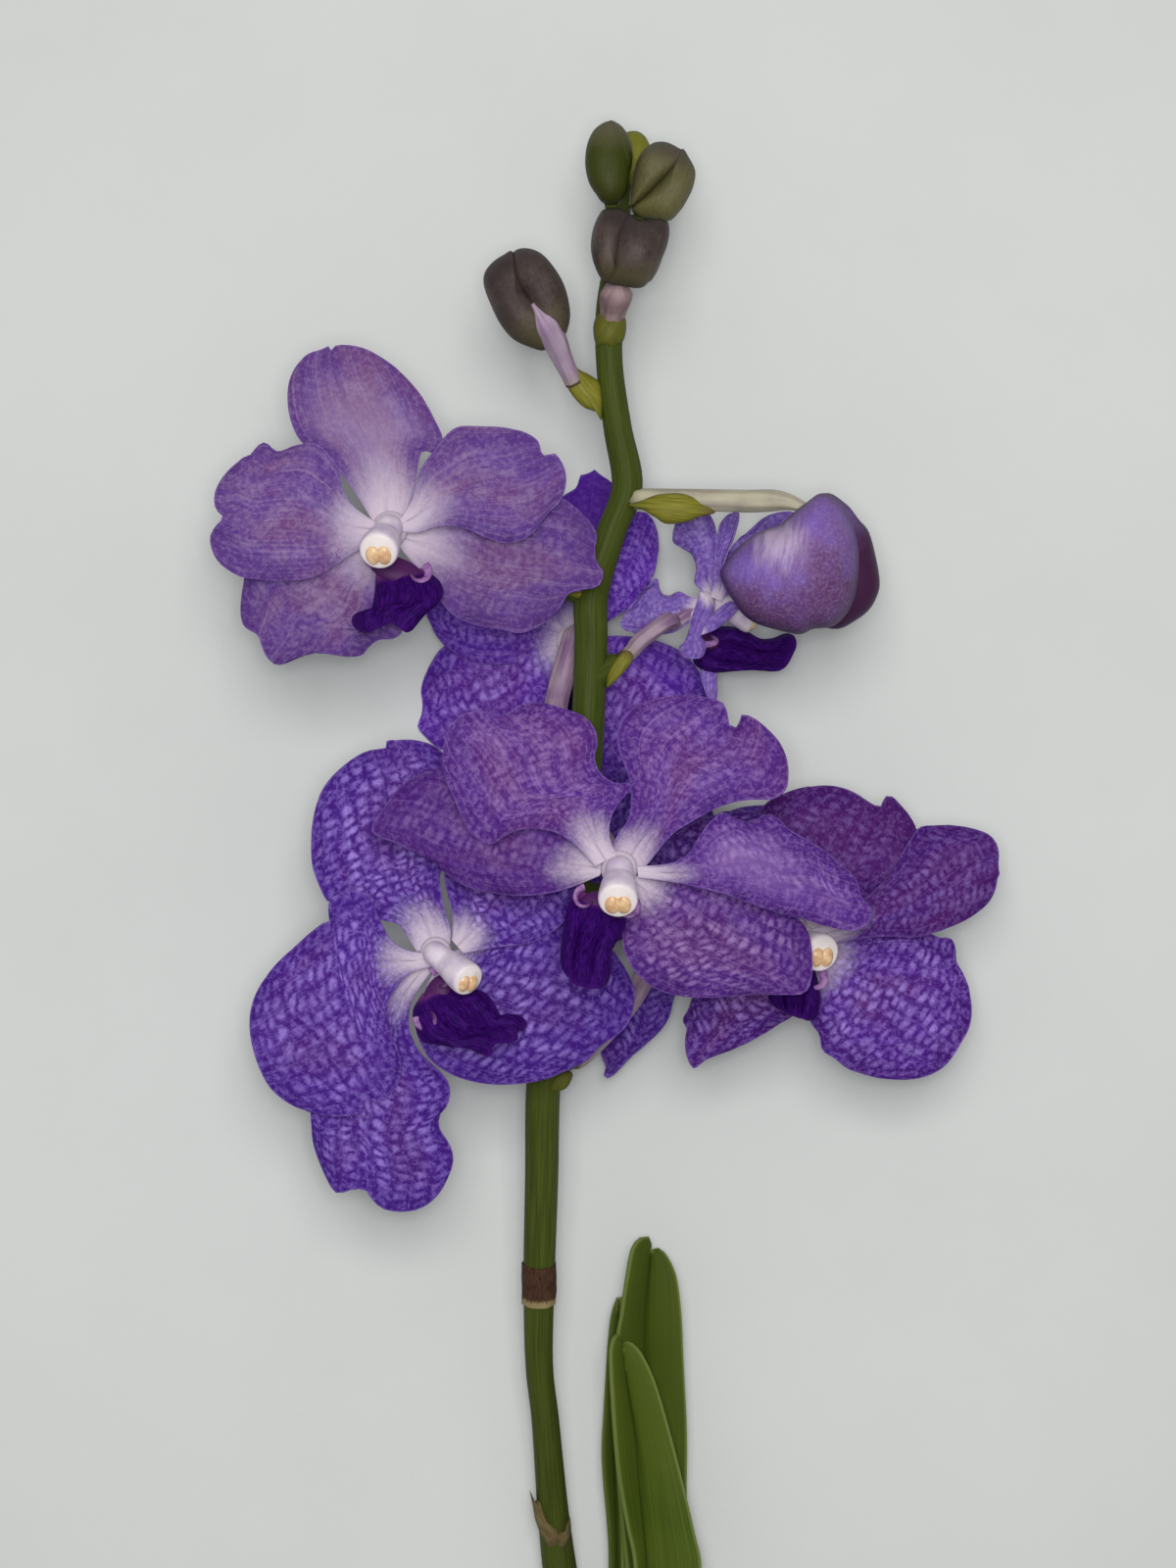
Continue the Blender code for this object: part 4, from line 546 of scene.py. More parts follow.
BRACTS = [                           # at the nodes of a, c, h, the opening bud and buds 1 and 2
    Lobe([(-4.6, 42.9), (-1.0, 43.8), (1.6, 43.2), (1.2, 41.8), (-2.0, 41.6)], 1.4, 1.6),
    Lobe([(4.3, 21.6), (4.5, 24.8), (6.2, 28.0), (8.4, 30.0), (10.0, 29.2), (9.8, 27.4), (7.6, 24.6)], 2.0,
          1.8),
    Lobe([(-8.6, -69.0), (-8.0, -65.6), (-4.8, -64.2), (-3.4, -65.4), (-5.0, -68.4)], 2.0, -3.4, 0.75),
    Lobe([(9.0, 62.6), (12.2, 63.7), (15.8, 65.0), (21.3, 65.2), (25.7, 63.5), (28.6, 61.0), (24.9, 59.9),
          (22.0, 58.8), (17.6, 58.4), (15.0, 59.9), (12.1, 61.6)], 2.7, 4.9),
    Lobe([(3.0, 81.6), (1.9, 83.4), (-1.0, 84.6), (-3.5, 87.2), (-4.9, 89.6), (-5.8, 92.0), (-6.7, 93.4),
          (-5.2, 94.3), (-3.4, 94.0), (-1.5, 92.8), (0.8, 91.6), (2.6, 90.0), (3.2, 86.0)], 2.6, 2.2),
    Lobe([(2.0, 98.2), (1.3, 100.4), (1.2, 103.0), (2.0, 105.2), (3.6, 106.8), (5.2, 105.6), (7.0, 106.8),
          (8.3, 105.0), (8.6, 102.2), (7.9, 99.4), (6.4, 98.4), (5.2, 97.4), (3.6, 98.2)], 4.0, 1.6, 0.6),
]
BASAL_BRACT = [                      # its two flaps
    Lobe([(-13.1, -158.5), (-12.1, -160.9), (-10.9, -160.5), (-9.6, -163.8), (-8.2, -166.8),
          (-6.4, -168.0), (-6.2, -170.4), (-8.5, -171.4), (-10.4, -168.8), (-11.8, -165.3),
          (-12.4, -162.0)], 3.4, -28.6),
    Lobe([(-4.2, -164.4), (-5.2, -167.3), (-6.9, -168.0), (-7.2, -170.4), (-5.6, -171.8), (-4.2, -169.8),
          (-3.8, -167.0)], 3.4, -28.8),
]
BAND_ENDS = (-120.5, -108.6)
SHOOT_FOOT_PATH = [(9.0, -240.0, -34.6), (9.0, -226.0, -34.6), (7.5, -212.0, -34.6), (2.5, -203.0, -34.5)]
SHOOT_FOOT_RADII = [8.6, 9.0, 8.4, 5.0]


def seen(point):
    """The point at its own height that shows at its X and Y in the sheet."""
    x, y, z = point
    nearer = (VIEW_DISTANCE - z) / VIEW_DISTANCE
    return Vector((x * nearer, y * nearer, z))


def placed(point):
    """A point of the sheet's space, in the part's own frame and in metres."""
    return (Vector(point) + SHEET_TO_PART) * MM


def bend_through(a, b, c, d, f):
    """Between b and c at f from 0 to 1, heading there from a and on towards d."""
    return 0.5 * (2 * b + (c - a) * f + (2 * a - 5 * b + 4 * c - d) * f ** 2
                  + (3 * b - a - 3 * c + d) * f ** 3)


def smooth(values, u):
    """A smooth curve through values at u from 0 to 1; numbers or vectors."""
    last = len(values) - 1
    place = min(max(u, 0.0), 1.0) * last
    i = min(int(place), last - 1)
    return bend_through(values[max(i - 1, 0)], values[i], values[i + 1], values[min(i + 2, last)], place - i)


def curve(values, steps):
    """Stations along a smooth curve through the values."""
    return [smooth(values, i / steps) for i in range(steps + 1)]


def even(first, last, steps=8):
    """Evenly spaced numbers or places from first to last."""
    return [first + (last - first) * (i / steps) for i in range(steps + 1)]


def round_curve(points):
    """Places along a smooth closed line through the points."""
    points = [Vector(p) for p in points]
    count = len(points)
    line = []
    for i in range(count):
        near = [points[(i + k) % count] for k in (-1, 0, 1, 2)]
        line += [bend_through(*near, f / RING_STEPS) for f in range(RING_STEPS)]
    return line


def ease(low, high, x):
    """A smooth step from 0 to 1 as x goes from low to high."""
    f = min(max((x - low) / (high - low), 0.0), 1.0)
    return f * f * (3.0 - 2.0 * f)


def groove(across, width=GROOVE_WIDTH):
    """The depth of the line along a sheet's middle."""
    return GROOVE_DEPTH * exp(-(across / width) ** 2)


def normal_at(grid, i, j):
    """The unit normal of a grid of points."""
    along = grid[min(i + 1, len(grid) - 1)][j] - grid[max(i - 1, 0)][j]
    over = grid[i][min(j + 1, len(grid[i]) - 1)] - grid[i][max(j - 1, 0)]
    return over.cross(along).normalized()


class Skin:
    """The vertices and faces of one piece, with the marks that its paint reads."""

    def __init__(self):
        self.verts = []
        self.faces = []
        self.net = []                # across in veins, along in cells, a number for the petal
        self.place = []              # across from -1 to 1, along from 0 to 1, millimetres from the rim
        self.tone = []               # net, redness and shade
        self.tone_now = (1.0, 0.0, 0.0)

    def vert(self, point, net=(0.0, 0.0, 0.0), place=(0.0, 0.0, INSIDE)):
        spot = Vector(point)
        spot.z = max(spot.z, SURFACE)
        self.verts.append(placed(spot))
        self.net.append(net)
        self.place.append(place)
        self.tone.append(self.tone_now)
        return len(self.verts) - 1

    def grid(self, rows, flip=False, closed=False):
        """Quads between rows of vertices; closed joins each row's end to its start."""
        for low, high in zip(rows, rows[1:]):
            count = len(low) if closed else len(low) - 1
            for j in range(count):
                k = (j + 1) % len(low)
                quad = (low[j], low[k], high[k], high[j])
                self.faces.append(quad[::-1] if flip else quad)

    def fan(self, ring, tip, flip):
        """Triangles from a closed row of vertices to one tip."""
        for k, corner in enumerate(ring):
            face = (corner, ring[(k + 1) % len(ring)], tip)
            self.faces.append(face[::-1] if flip else face)

    def sheet(self, point, rows, columns, thickness, seed, cells, size=None):
        """A thin closed sheet about point(s, c) with a rounded rim; size does for a measured rim."""
        across = [sin(0.5 * pi * (2.0 * j / columns - 1.0)) for j in range(columns + 1)]
        middle = [[seen(point(i / rows, c)) for c in across] for i in range(rows + 1)]
        edges = middle[rows // 8:rows]
        rim = np.array([row[0] for row in edges] + middle[rows] + [row[-1] for row in edges])

        def from_rim(s, c, spot):
            if size:
                return min((1.0 - abs(c)) * size[0], (1.0 - s) * size[1])
            return np.sqrt(((rim - np.array(spot)) ** 2).sum(1).min())

        def face(side):
            lines = []
            for i, row in enumerate(middle):
                s = i / rows
                line = []
                for j, c in enumerate(across):
                    normal = normal_at(middle, i, j)
                    thinner = 1.0 - RIM_THINNING * max(abs(c) ** 10, s ** 20)
                    spot = row[j] + normal * side * thickness * thinner
                    low = SURFACE if side * normal.z < 0 else SURFACE + thickness
                    spot.z = max(spot.z, low)
                    net = (c * cells[0], s * cells[1], seed)
                    line.append(self.vert(spot, net, (c, s, from_rim(s, c, row[j]))))
                lines.append(line)
            return lines
        front = face(0.5)
        back = face(-0.5)
        self.grid(front)
        self.grid(back, flip=True)
        self.grid([[line[0] for line in back], [line[0] for line in front]], flip=True)
        self.grid([[line[-1] for line in front], [line[-1] for line in back]], flip=True)
        self.grid([back[0], front[0]])
        self.grid([front[-1], back[-1]])

    def tube(self, path, radii, sides=24, squash=1.0, shape=None, lanes=1.0, round_ends=True):
        """A bar along path; shape(u, turn) scales its radius."""
        path = [Vector(p) for p in path]
        count = len(path) - 1
        side = None
        rows = []
        length = 0.0
        for i, centre in enumerate(path):
            way = (path[min(i + 1, count)] - path[max(i - 1, 0)]).normalized()
            if side is None:
                side = way.orthogonal().normalized() if abs(way.y) < 0.5 else way.cross(Vector((0, 0, 1)))
            side = (side - way * side.dot(way)).normalized()
            up = side.cross(way)
            if i:
                length += (centre - path[i - 1]).length
            row = []
            for k in range(sides):
                turn = 2.0 * pi * k / sides
                radius = radii[i] * (shape(i / count, turn) if shape else 1.0)
                spot = centre + (side * cos(turn) + up * sin(turn) * squash) * radius
                around = 1.0 - abs(2.0 * k / sides - 1.0)
                row.append(self.vert(spot, (around * lanes, length, 0.0), (around, i / count, INSIDE)))
            rows.append(row)
        self.grid(rows, closed=True)
        for end, inner, flip in ((0, 1, True), (-1, -2, False)):
            bulge = 0.35 * radii[end] if round_ends else 0.0
            first = rows[end][0]
            tip = path[end] + (path[end] - path[inner]).normalized() * bulge
            self.fan(rows[end], self.vert(tip, self.net[first], self.place[first]), flip)

    def ball(self, centre, axes, place=(0.0, 0.0, INSIDE)):
        """A rounded body with three half axes, given as vectors."""
        centre = Vector(centre)
        lines = []
        for i in range(1, BALL_ROWS):
            tilt = pi * i / BALL_ROWS
            line = []
            for k in range(BALL_SIDES):
                turn = 2.0 * pi * k / BALL_SIDES
                spot = centre + axes[0] * sin(tilt) * cos(turn) + axes[1] * sin(tilt) * sin(turn)
                line.append(self.vert(spot + axes[2] * cos(tilt), place=place))
            lines.append(line)
        self.grid(lines, closed=True, flip=True)
        for line, way in ((lines[0], 1.0), (lines[-1], -1.0)):
            self.fan(line, self.vert(centre + axes[2] * way, place=place), way < 0)

    def puff(self, lobe, foot, tip, seed):
        """A rounded body that shows the lobe's outline; its middle runs level with foot and tip."""
        self.tone_now = (1.0, 0.0, lobe.shade)
        line = round_curve(lobe.outline)
        centre = sum(line, Vector((0.0, 0.0))) / len(line)
        start = Vector(foot[:2])
        way = Vector(tip[:2]) - start
        cross = Vector((way.y, -way.x)).normalized()

        def corner(spot, up, reach):
            from_foot = spot - start
            along = from_foot.dot(way) / way.length_squared
            across = from_foot.dot(cross)
            z = foot[2] + (tip[2] - foot[2]) * along + lobe.height + up
            net = (across * 0.5, from_foot.dot(way.normalized()) * 0.5, seed)
            return self.vert(seen((spot.x, spot.y, z)), net, (across, along, reach ** 14))
        rings = []
        for i in range(1, PUFF_ROWS):
            tilt = pi * i / PUFF_ROWS
            reach = sin(tilt) ** (2.0 / PUFF_FULLNESS)
            above = tilt <= 0.5 * pi
            up = lobe.swell * abs(cos(tilt)) ** (2.0 / PUFF_FULLNESS) * (1.0 if above else -1.0)
            rings.append([corner(centre.lerp(spot, reach), up, reach if above else 1.0) for spot in line])
        self.grid(rings, closed=True)
        for ring, way_up in ((rings[0], 1.0), (rings[-1], -1.0)):
            self.fan(ring, corner(centre, lobe.swell * way_up, 0.0), way_up > 0)

    def piece(self, name, paint, nodes, slot):
        """The object itself, which stands for the named nodes."""
        mesh = bpy.data.meshes.new(name)
        mesh.from_pydata(self.verts, [], self.faces)
        for mark, values in (("net", self.net), ("place", self.place), ("tone", self.tone)):
            layer = mesh.attributes.new(mark, "FLOAT_VECTOR", "POINT")
            layer.data.foreach_set("vector", [x for value in values for x in value])
        mesh.materials.append(paint)
        mesh.shade_smooth()
        mesh.set_sharp_from_angle(angle=radians(SHARP_ANGLE))
        mesh.validate()
        piece = bpy.data.objects.new(name, mesh)
        bpy.context.scene.collection.objects.link(piece)
        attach(piece, "root")
        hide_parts(*nodes)


class Value:
    """A number, a place or a colour that a paint's nodes work out; sums with a number add nodes."""

    def __init__(self, paint, socket):
        self.paint = paint
        self.socket = socket

    def math(self, operation, other=0.0):
        return self.paint.node("Math", {0: self, 1: other}, operation=operation)[0]

    def __add__(self, other):
        return self.math("ADD", other)

    def __sub__(self, other):
        return self.math("SUBTRACT", other)

    def __mul__(self, other):
        return self.math("MULTIPLY", other)

    def ease(self, low, high, start=0.0, end=1.0):
        """A smooth step as the number goes from low to high; low may be the larger."""
        if low > high:
            low, high, start, end = high, low, end, start
        inputs = {0: self, 1: low, 2: high, 3: start, 4: end}
        return self.paint.node("MapRange", inputs, interpolation_type="SMOOTHSTEP")[0]


class Paint:
    """A material, with calls that add its nodes."""

    def __init__(self, name, roughness, specular):
        self.material = bpy.data.materials.new(name)
        self.material.use_nodes = True
        self.tree = self.material.node_tree
        self.shader = self.tree.nodes["Principled BSDF"].inputs
        self.shader["Roughness"].default_value = roughness
        self.shader["Specular IOR Level"].default_value = specular
        self.marks = {}

    def feed(self, socket, value):
        if isinstance(value, Value):
            self.tree.links.new(value.socket, socket)
        else:
            socket.default_value = value

    def node(self, kind, inputs=None, **properties):
        """Adds a node and gives its outputs."""
        made = self.tree.nodes.new("ShaderNode" + kind)
        for key, value in properties.items():
            setattr(made, key, value)
        for key, value in (inputs or {}).items():
            self.feed(made.inputs[key], value)
        return [Value(self, socket) for socket in made.outputs]

    def mark(self, name):
        """The three numbers that the mesh keeps under a name."""
        if name not in self.marks:
            vector = self.node("Attribute", attribute_name=name, attribute_type="GEOMETRY")[1]
            self.marks[name] = self.node("SeparateXYZ", {0: vector})
        return self.marks[name]

    def space(self):
        """The place in the object, in metres."""
        return self.node("TexCoord")[3]

    def vector(self, x, y, z=0.0):
        return self.node("CombineXYZ", {0: x, 1: y, 2: z})[0]

    def noise(self, place, scale, detail=2.0, roughness=0.5):
        inputs = {"Vector": place, "Scale": scale, "Detail": detail, "Roughness": roughness}
        return self.node("TexNoise", inputs)[0]

    def patches(self, scale, detail=3.0, roughness=0.5):
        """Noise in the object's own space."""
        return self.noise(self.space(), scale, detail, roughness)

    def streaks(self, lanes, cells, scale, detail=3.0, roughness=0.5):
        """Noise that runs along the veins."""
        lane, cell, seed = self.mark("net")
        return self.noise(self.vector(lane * lanes, cell * cells, seed), scale, detail, roughness)

    def mix(self, factor, a, b):
        a, b = (colour if isinstance(colour, Value) else (*colour, 1.0) for colour in (a, b))
        return self.node("Mix", {0: factor, 6: a, 7: b}, data_type="RGBA")[2]

    def done(self, colour, height=None, distance=0.0003, strength=0.4):
        """The material with this colour and relief."""
        self.feed(self.shader["Base Color"], colour)
        if height:
            inputs = {"Height": height, "Distance": distance, "Strength": strength}
            self.feed(self.shader["Normal"], self.node("Bump", inputs)[0])
        return self.material


@dataclass
class Look:
    """How the petals of a flower are coloured."""
    blue: tuple                      # towards the rim
    red: tuple                       # towards the middle
    vein: tuple
    cell: tuple
    net: float                       # how plainly the pale cells show
    white: float                     # how far the white of the claw reaches
    spots: float                     # small dark dots near the claw
    mist_and_highlight: float                      # pale cloudiness, partly painted highlight


LOOKS = {
    "pale": Look((0.120, 0.055, 0.290), (0.190, 0.082, 0.200), (0.075, 0.024, 0.150), (0.31, 0.22, 0.38),
                 0.80, 0.36, 1.0, 0.45),
    "plum": Look((0.098, 0.030, 0.290), (0.120, 0.030, 0.165), (0.048, 0.008, 0.120), (0.34, 0.205, 0.47),
                 1.0, 0.21, 0.4, 0.30),
    "lilac": Look((0.215, 0.135, 0.510), (0.260, 0.150, 0.440), (0.100, 0.036, 0.250), (0.42, 0.34, 0.64),
                  0.60, 0.17, 0.0, 0.4),
    "blue": Look((0.082, 0.022, 0.300), (0.096, 0.022, 0.190), (0.036, 0.006, 0.150), (0.33, 0.215, 0.66),
                 1.0, 0.20, 0.0, 0.1),
    "wine": Look((0.092, 0.022, 0.320), (0.106, 0.016, 0.140), (0.036, 0.004, 0.096), (0.35, 0.22, 0.64),
                 1.0, 0.27, 0.0, 0.1),
    # flower B's blue painted lighter, as painted light against the shade it lies in under flower A and the
    # stem
    "blue_painted_light": Look((0.115, 0.026, 0.43), (0.140, 0.030, 0.29), (0.058, 0.010, 0.22), (0.42, 0.26, 0.80),
                0.85, 0.20, 0.0, 0.15),
}
FLOWER_LOOK = {
    "flower_a": "pale", "flower_b": "blue_painted_light", "flower_c": "lilac", "flower_e": "plum",
    "flower_f": "blue", "flower_g": "wine", "flower_h": "blue",
}
PALE_LOOKS = ("pale", "lilac")       # the looks that pick the name of the paler slot
CLAW_WHITE = (0.60, 0.51, 0.60)
RIM_PALE = (0.26, 0.16, 0.50)
FLUSH_AND_HIGHLIGHT = (7.0, 12.0, 0.0)             # the opening bud's pale flush, partly painted highlight: millimetres across and from its foot
OPENING_BUD_LENGTH = 31.0


def petal_net(p, rough):
    """How pale the cells of the net are, and how far a place is from the lines between them."""
    lane, cell, seed = p.mark("net")
    across, along, rim = p.mark("place")
    waver = p.noise(p.vector(lane, cell, seed), 0.45) * 1.2 - 0.6
    spot = p.vector(lane + waver + seed * 3.7, cell - waver)
    inputs = {"Vector": spot, "Scale": 1.0, "Randomness": 0.55}
    cells = p.node("TexVoronoi", inputs, voronoi_dimensions="2D", feature="F1")
    edges = p.node("TexVoronoi", inputs, voronoi_dimensions="2D", feature="DISTANCE_TO_EDGE")
    border = edges[0] + rough * 1.1
    pale = (cells[0] + rough).ease(0.62, 0.12) * border.ease(0.0, 0.36)
    pale = pale * p.node("SeparateColor", {0: cells[1]})[0].ease(-0.3, 1.0, 0.45, 1.0)
    pale = pale * p.noise(p.vector(across, along, seed), 3.1).ease(0.34, 0.60, 0.35, 1.0)
    return pale * rim.ease(0.6, 6.0, 0.30, 1.0), border


def claw_spots(p, look):
    """Where the small dark dots beside the claw are."""
    across, along = p.mark("place")[:2]
    dots = p.node("TexVoronoi", {"Vector": p.vector(*p.mark("net")), "Scale": 1.9}, feature="F1")
    near = along.ease(0.16, 0.26) * along.ease(0.62, 0.40)
    side = across.math("ABSOLUTE").ease(0.35, 0.8)
    return dots[0].ease(0.26, 0.12) * near * side * (0.7 * look.spots)


def petal_paint(name, look):
    """Soft pale cells between dark veins and the lines across them, fading to white at the claw."""
    p = Paint(name, 0.6, 0.05)
    lane, seed = p.mark("net")[::2]
    across, along, rim = p.mark("place")
    strength, redder, darker = p.mark("tone")
    strength = strength * look.net
    grain = p.streaks(3.0, 1.0, 2.6, 5.0, 0.7)
    fine = p.patches(1700.0, 3.0, 0.6)
    cloud = p.noise(p.vector(across, along, seed), 1.9, 3.0)
    pale, border = petal_net(p, grain * 0.36 + fine * 0.24 - 0.30)

    middle = rim.ease(1.0, 14.0, 0.0, 0.55) + cloud * 2.2 - 0.95 + redder
    colour = p.mix(middle.ease(0.0, 1.0), look.blue, look.red)
    colour = p.mix(border.ease(0.34, 0.0) * strength * 0.55, colour, look.vein)
    mottle = (grain + fine * 0.5 - 0.25).ease(0.42, 0.66)
    colour = p.mix(mottle * 0.36, colour, look.vein)
    # pale cloudy streaks towards the cell colour, partly painted highlight on the petals
    mist_and_highlight = p.streaks(0.8, 0.35, 1.1, 6.0, 0.65).ease(0.44, 0.66) * rim.ease(1.0, 7.0)
    colour = p.mix(mist_and_highlight * look.mist_and_highlight, colour, look.cell)
    shore = rim * 0.16 + cloud * 2.0 - 1.0
    colour = p.mix(shore.ease(1.0, 0.1) * 0.40, colour, look.vein)
    colour = p.mix(pale * strength, colour, look.cell)

    thread = p.streaks(6.0, 0.08, 1.0, 4.0, 0.6)
    veins = along.ease(0.10, 0.45) * (0.14 + 0.45 * look.mist_and_highlight)
    colour = p.mix(thread.ease(0.50, 0.68) * veins, colour, look.cell)
    colour = p.mix(thread.ease(0.49, 0.34) * veins, colour, look.vein)
    speck = p.patches(950.0, 3.0, 0.7)
    colour = p.mix(speck.ease(0.51, 0.60) * 0.24, colour, look.cell)
    colour = p.mix(speck.ease(0.49, 0.40) * 0.34, colour, look.vein)
    # darkens a tepal by its shade number; on flower B's top sepal and flower F's right lateral sepal this is
    # painted shade
    colour = p.mix(darker, colour, look.vein)
    paler = rim.ease(0.5, 9.0) * along.ease(0.98, 0.45) * (grain * 0.8 + 0.6)
    colour = p.mix(paler * darker * -1.0, colour, look.cell)

    streak = p.streaks(1.3, 0.40, 1.3, 5.0, 0.6)
    reach = along + across * across * 0.10 - streak * 0.14 - fine * 0.10 + 0.12
    colour = p.mix(reach.ease(look.white + 0.10, 0.02) * 0.96, colour, CLAW_WHITE)
    if look.spots:
        colour = p.mix(claw_spots(p, look), colour, look.vein)
    colour = p.mix(rim.ease(0.55, 0.10) * 0.24, colour, RIM_PALE)
    ribs = (lane * (2.0 * pi)).math("SINE") * along.ease(0.15, 0.6, 0.02, 0.30)
    return p.done(colour, ribs + grain * 0.6 + fine * 0.5, 0.0004, 0.45)


def lip_paint():
    """Dark violet velvet, a little paler at its rim and redder at its foot."""
    p = Paint("lip_velvet", 0.5, 0.03)
    along, rim = p.mark("place")[1:]
    grain = p.streaks(4.0, 1.0, 1.2, 4.0, 0.6)
    colour = p.mix(grain.ease(0.35, 0.7), (0.014, 0.001, 0.056), (0.048, 0.005, 0.150))
    colour = p.mix(rim.ease(1.6, 0.2) * 0.45, colour, (0.060, 0.008, 0.165))
    colour = p.mix(along.ease(0.16, 0.0), colour, (0.190, 0.040, 0.200))
    return p.done(colour, grain, strength=0.5)


def auricle_paint():
    """Mauve for the ears, and dark where they meet the lip."""
    p = Paint("auricle_mauve", 0.5, 0.15)
    along = p.mark("place")[1]
    colour = p.mix(p.patches(900.0).ease(0.3, 0.7), (0.200, 0.070, 0.260), (0.340, 0.180, 0.400))
    return p.done(p.mix(along.ease(0.5, 1.0), colour, (0.062, 0.010, 0.080)))


def column_paint():
    """Waxy white with a breath of violet, creamier at the mouth."""
    p = Paint("column_wax", 0.45, 0.3)
    along = p.mark("place")[1]
    colour = p.mix(p.patches(260.0).ease(0.35, 0.7), (0.70, 0.62, 0.70), (0.56, 0.44, 0.62))
    colour = p.mix(along.ease(0.75, 1.0), colour, (0.80, 0.74, 0.70))
    return p.done(colour, p.patches(1500.0), 0.0002, 0.3)


def anther_paint():
    """The cap's cream and orange."""
    p = Paint("anther_cream", 0.35, 0.45)
    patch = p.patches(700.0)
    colour = p.mix(patch.ease(0.35, 0.65), (0.58, 0.33, 0.17), (0.74, 0.52, 0.30))
    return p.done(colour, patch, 0.0002, 0.3)


def stalk_paint(name, light, dark, foot=0.15):
    """Pale ribs tinged with another colour, and a brown foot."""
    p = Paint(name, 0.5, 0.12)
    along = p.mark("place")[1]
    streak = p.streaks(5.0, 0.07, 1.0)
    blend = streak * 0.5 + p.patches(160.0, 2.0) * 0.5
    colour = p.mix(blend.ease(0.36, 0.64), light, dark)
    colour = p.mix(along.ease(0.35, 0.0) * 0.6, colour, (0.36, 0.36, 0.18))
    colour = p.mix(along.ease(foot, 0.6 * foot), colour, (0.070, 0.045, 0.022))
    return p.done(colour, streak, strength=0.5)


def stem_paint():
    """Green with fine streaks, browner towards the foot."""
    p = Paint("stem_skin", 0.5, 0.08)
    up_stem = p.node("SeparateXYZ", {0: p.space()})[1]
    streak = p.streaks(7.0, 0.05, 1.0, 4.0, 0.6)
    colour = p.mix(streak.ease(0.25, 0.75), (0.030, 0.045, 0.006), (0.066, 0.085, 0.012))
    colour = p.mix(p.patches(45.0).ease(0.45, 0.75) * 0.5, colour, (0.060, 0.072, 0.012))
    brown = streak.ease(0.55, 0.72) * up_stem.ease(-0.055, -0.13) * 0.7
    colour = p.mix(brown, colour, (0.030, 0.026, 0.012))
    return p.done(colour, streak + p.patches(1200.0), strength=0.35)


def bract_paint():
    """Yellow green with fine veins and a browner tip."""
    p = Paint("bract_yellow_green", 0.5, 0.1)
    along = p.mark("place")[1]
    darker = p.mark("tone")[2]
    vein = p.streaks(6.0, 0.3, 1.0)
    colour = p.mix(vein.ease(0.3, 0.7), (0.130, 0.125, 0.012), (0.230, 0.215, 0.030))
    colour = p.mix(along.ease(0.75, 1.0), colour, (0.15, 0.11, 0.035))
    colour = p.mix(along.ease(0.3, 0.0) * 0.6, colour, (0.10, 0.13, 0.020))
    return p.done(p.mix(darker, colour, (0.050, 0.060, 0.010)), vein)


def husk_paint(name, dark, light, frayed=None):
    """Dry papery skin, with a frayed lower rim of another colour."""
    p = Paint(name, 0.8, 0.2)
    along = p.mark("place")[1]
    fibre = p.streaks(9.0, 0.5, 1.0, 5.0, 0.7)
    patch = p.patches(300.0, 4.0, 0.6)
    colour = p.mix(fibre.ease(0.3, 0.7), dark, light)
    colour = p.mix(patch.ease(0.5, 0.7) * 0.6, colour, dark)
    if frayed:
        colour = p.mix((along + fibre * 0.5 - 0.25).ease(0.20, 0.12), colour, frayed)
    return p.done(colour, fibre + patch, 0.0006, 0.6)


def bud_paint(name, ground, blush, groove_colour, foot, tip):
    """Folded sepals with dark grooves where they meet."""
    p = Paint(name, 0.5, 0.15)
    along, rim = p.mark("place")[1:]
    streak = p.streaks(5.0, 0.30, 1.0, 4.0, 0.6)
    fine = p.patches(1500.0)
    colour = p.mix(p.patches(110.0, 4.0, 0.6).ease(0.38, 0.62), ground, blush)
    colour = p.mix(streak.ease(0.50, 0.75) * 0.35, colour, groove_colour)
    colour = p.mix(along.ease(0.50, 0.0) * 0.75, colour, foot)
    colour = p.mix(along.ease(0.6, 1.0) * 0.75, colour, tip)
    colour = p.mix(fine.ease(0.5, 0.75) * 0.25, colour, groove_colour)
    colour = p.mix(rim.ease(0.30, 1.0) * 0.80, colour, groove_colour)
    return p.done(colour, streak + fine)


def opening_bud_paint():
    """Lilac with fine pale and dark freckles, a cream flush on one shoulder that is partly painted highlight,
    and maroon below.
    """
    p = Paint("bud_lilac", 0.5, 0.12)
    across, along, rim = p.mark("place")
    darker = p.mark("tone")[2]
    patch = p.patches(70.0, 3.0, 0.6)
    freckle = p.patches(1300.0, 4.0, 0.7)
    streak = p.streaks(1.6, 0.3, 1.0, 4.0, 0.6)
    low = along + patch * 1.2 - across * 0.016 - 0.52
    colour = p.mix(patch.ease(0.35, 0.65), (0.165, 0.090, 0.380), (0.180, 0.090, 0.280))
    colour = p.mix(low.ease(0.42, 0.95) * 0.85, colour, (0.090, 0.026, 0.095))
    colour = p.mix(freckle.ease(0.40, 0.70) * 0.26, colour, (0.42, 0.32, 0.58))
    colour = p.mix(streak.ease(0.52, 0.75) * 0.35, colour, (0.110, 0.040, 0.180))
    colour = p.mix(darker * low.ease(0.2, 0.9, 0.35, 1.5), colour, (0.046, 0.012, 0.046))
    # the pale patch on one shoulder: a cream flush, and partly painted highlight
    spot = p.vector(across, along * OPENING_BUD_LENGTH)
    flush_and_highlight = p.node("VectorMath", {0: spot, 1: FLUSH_AND_HIGHLIGHT}, operation="DISTANCE")[1]
    flush_and_highlight = flush_and_highlight + freckle * 6.0 + streak * 12.0 - 9.0
    colour = p.mix(flush_and_highlight.ease(8.0, 0.0) * 0.72, colour, (0.54, 0.44, 0.58))
    colour = p.mix(rim.ease(0.12, 0.9) * 0.75, colour, (0.050, 0.016, 0.090))
    return p.done(colour, streak + freckle)


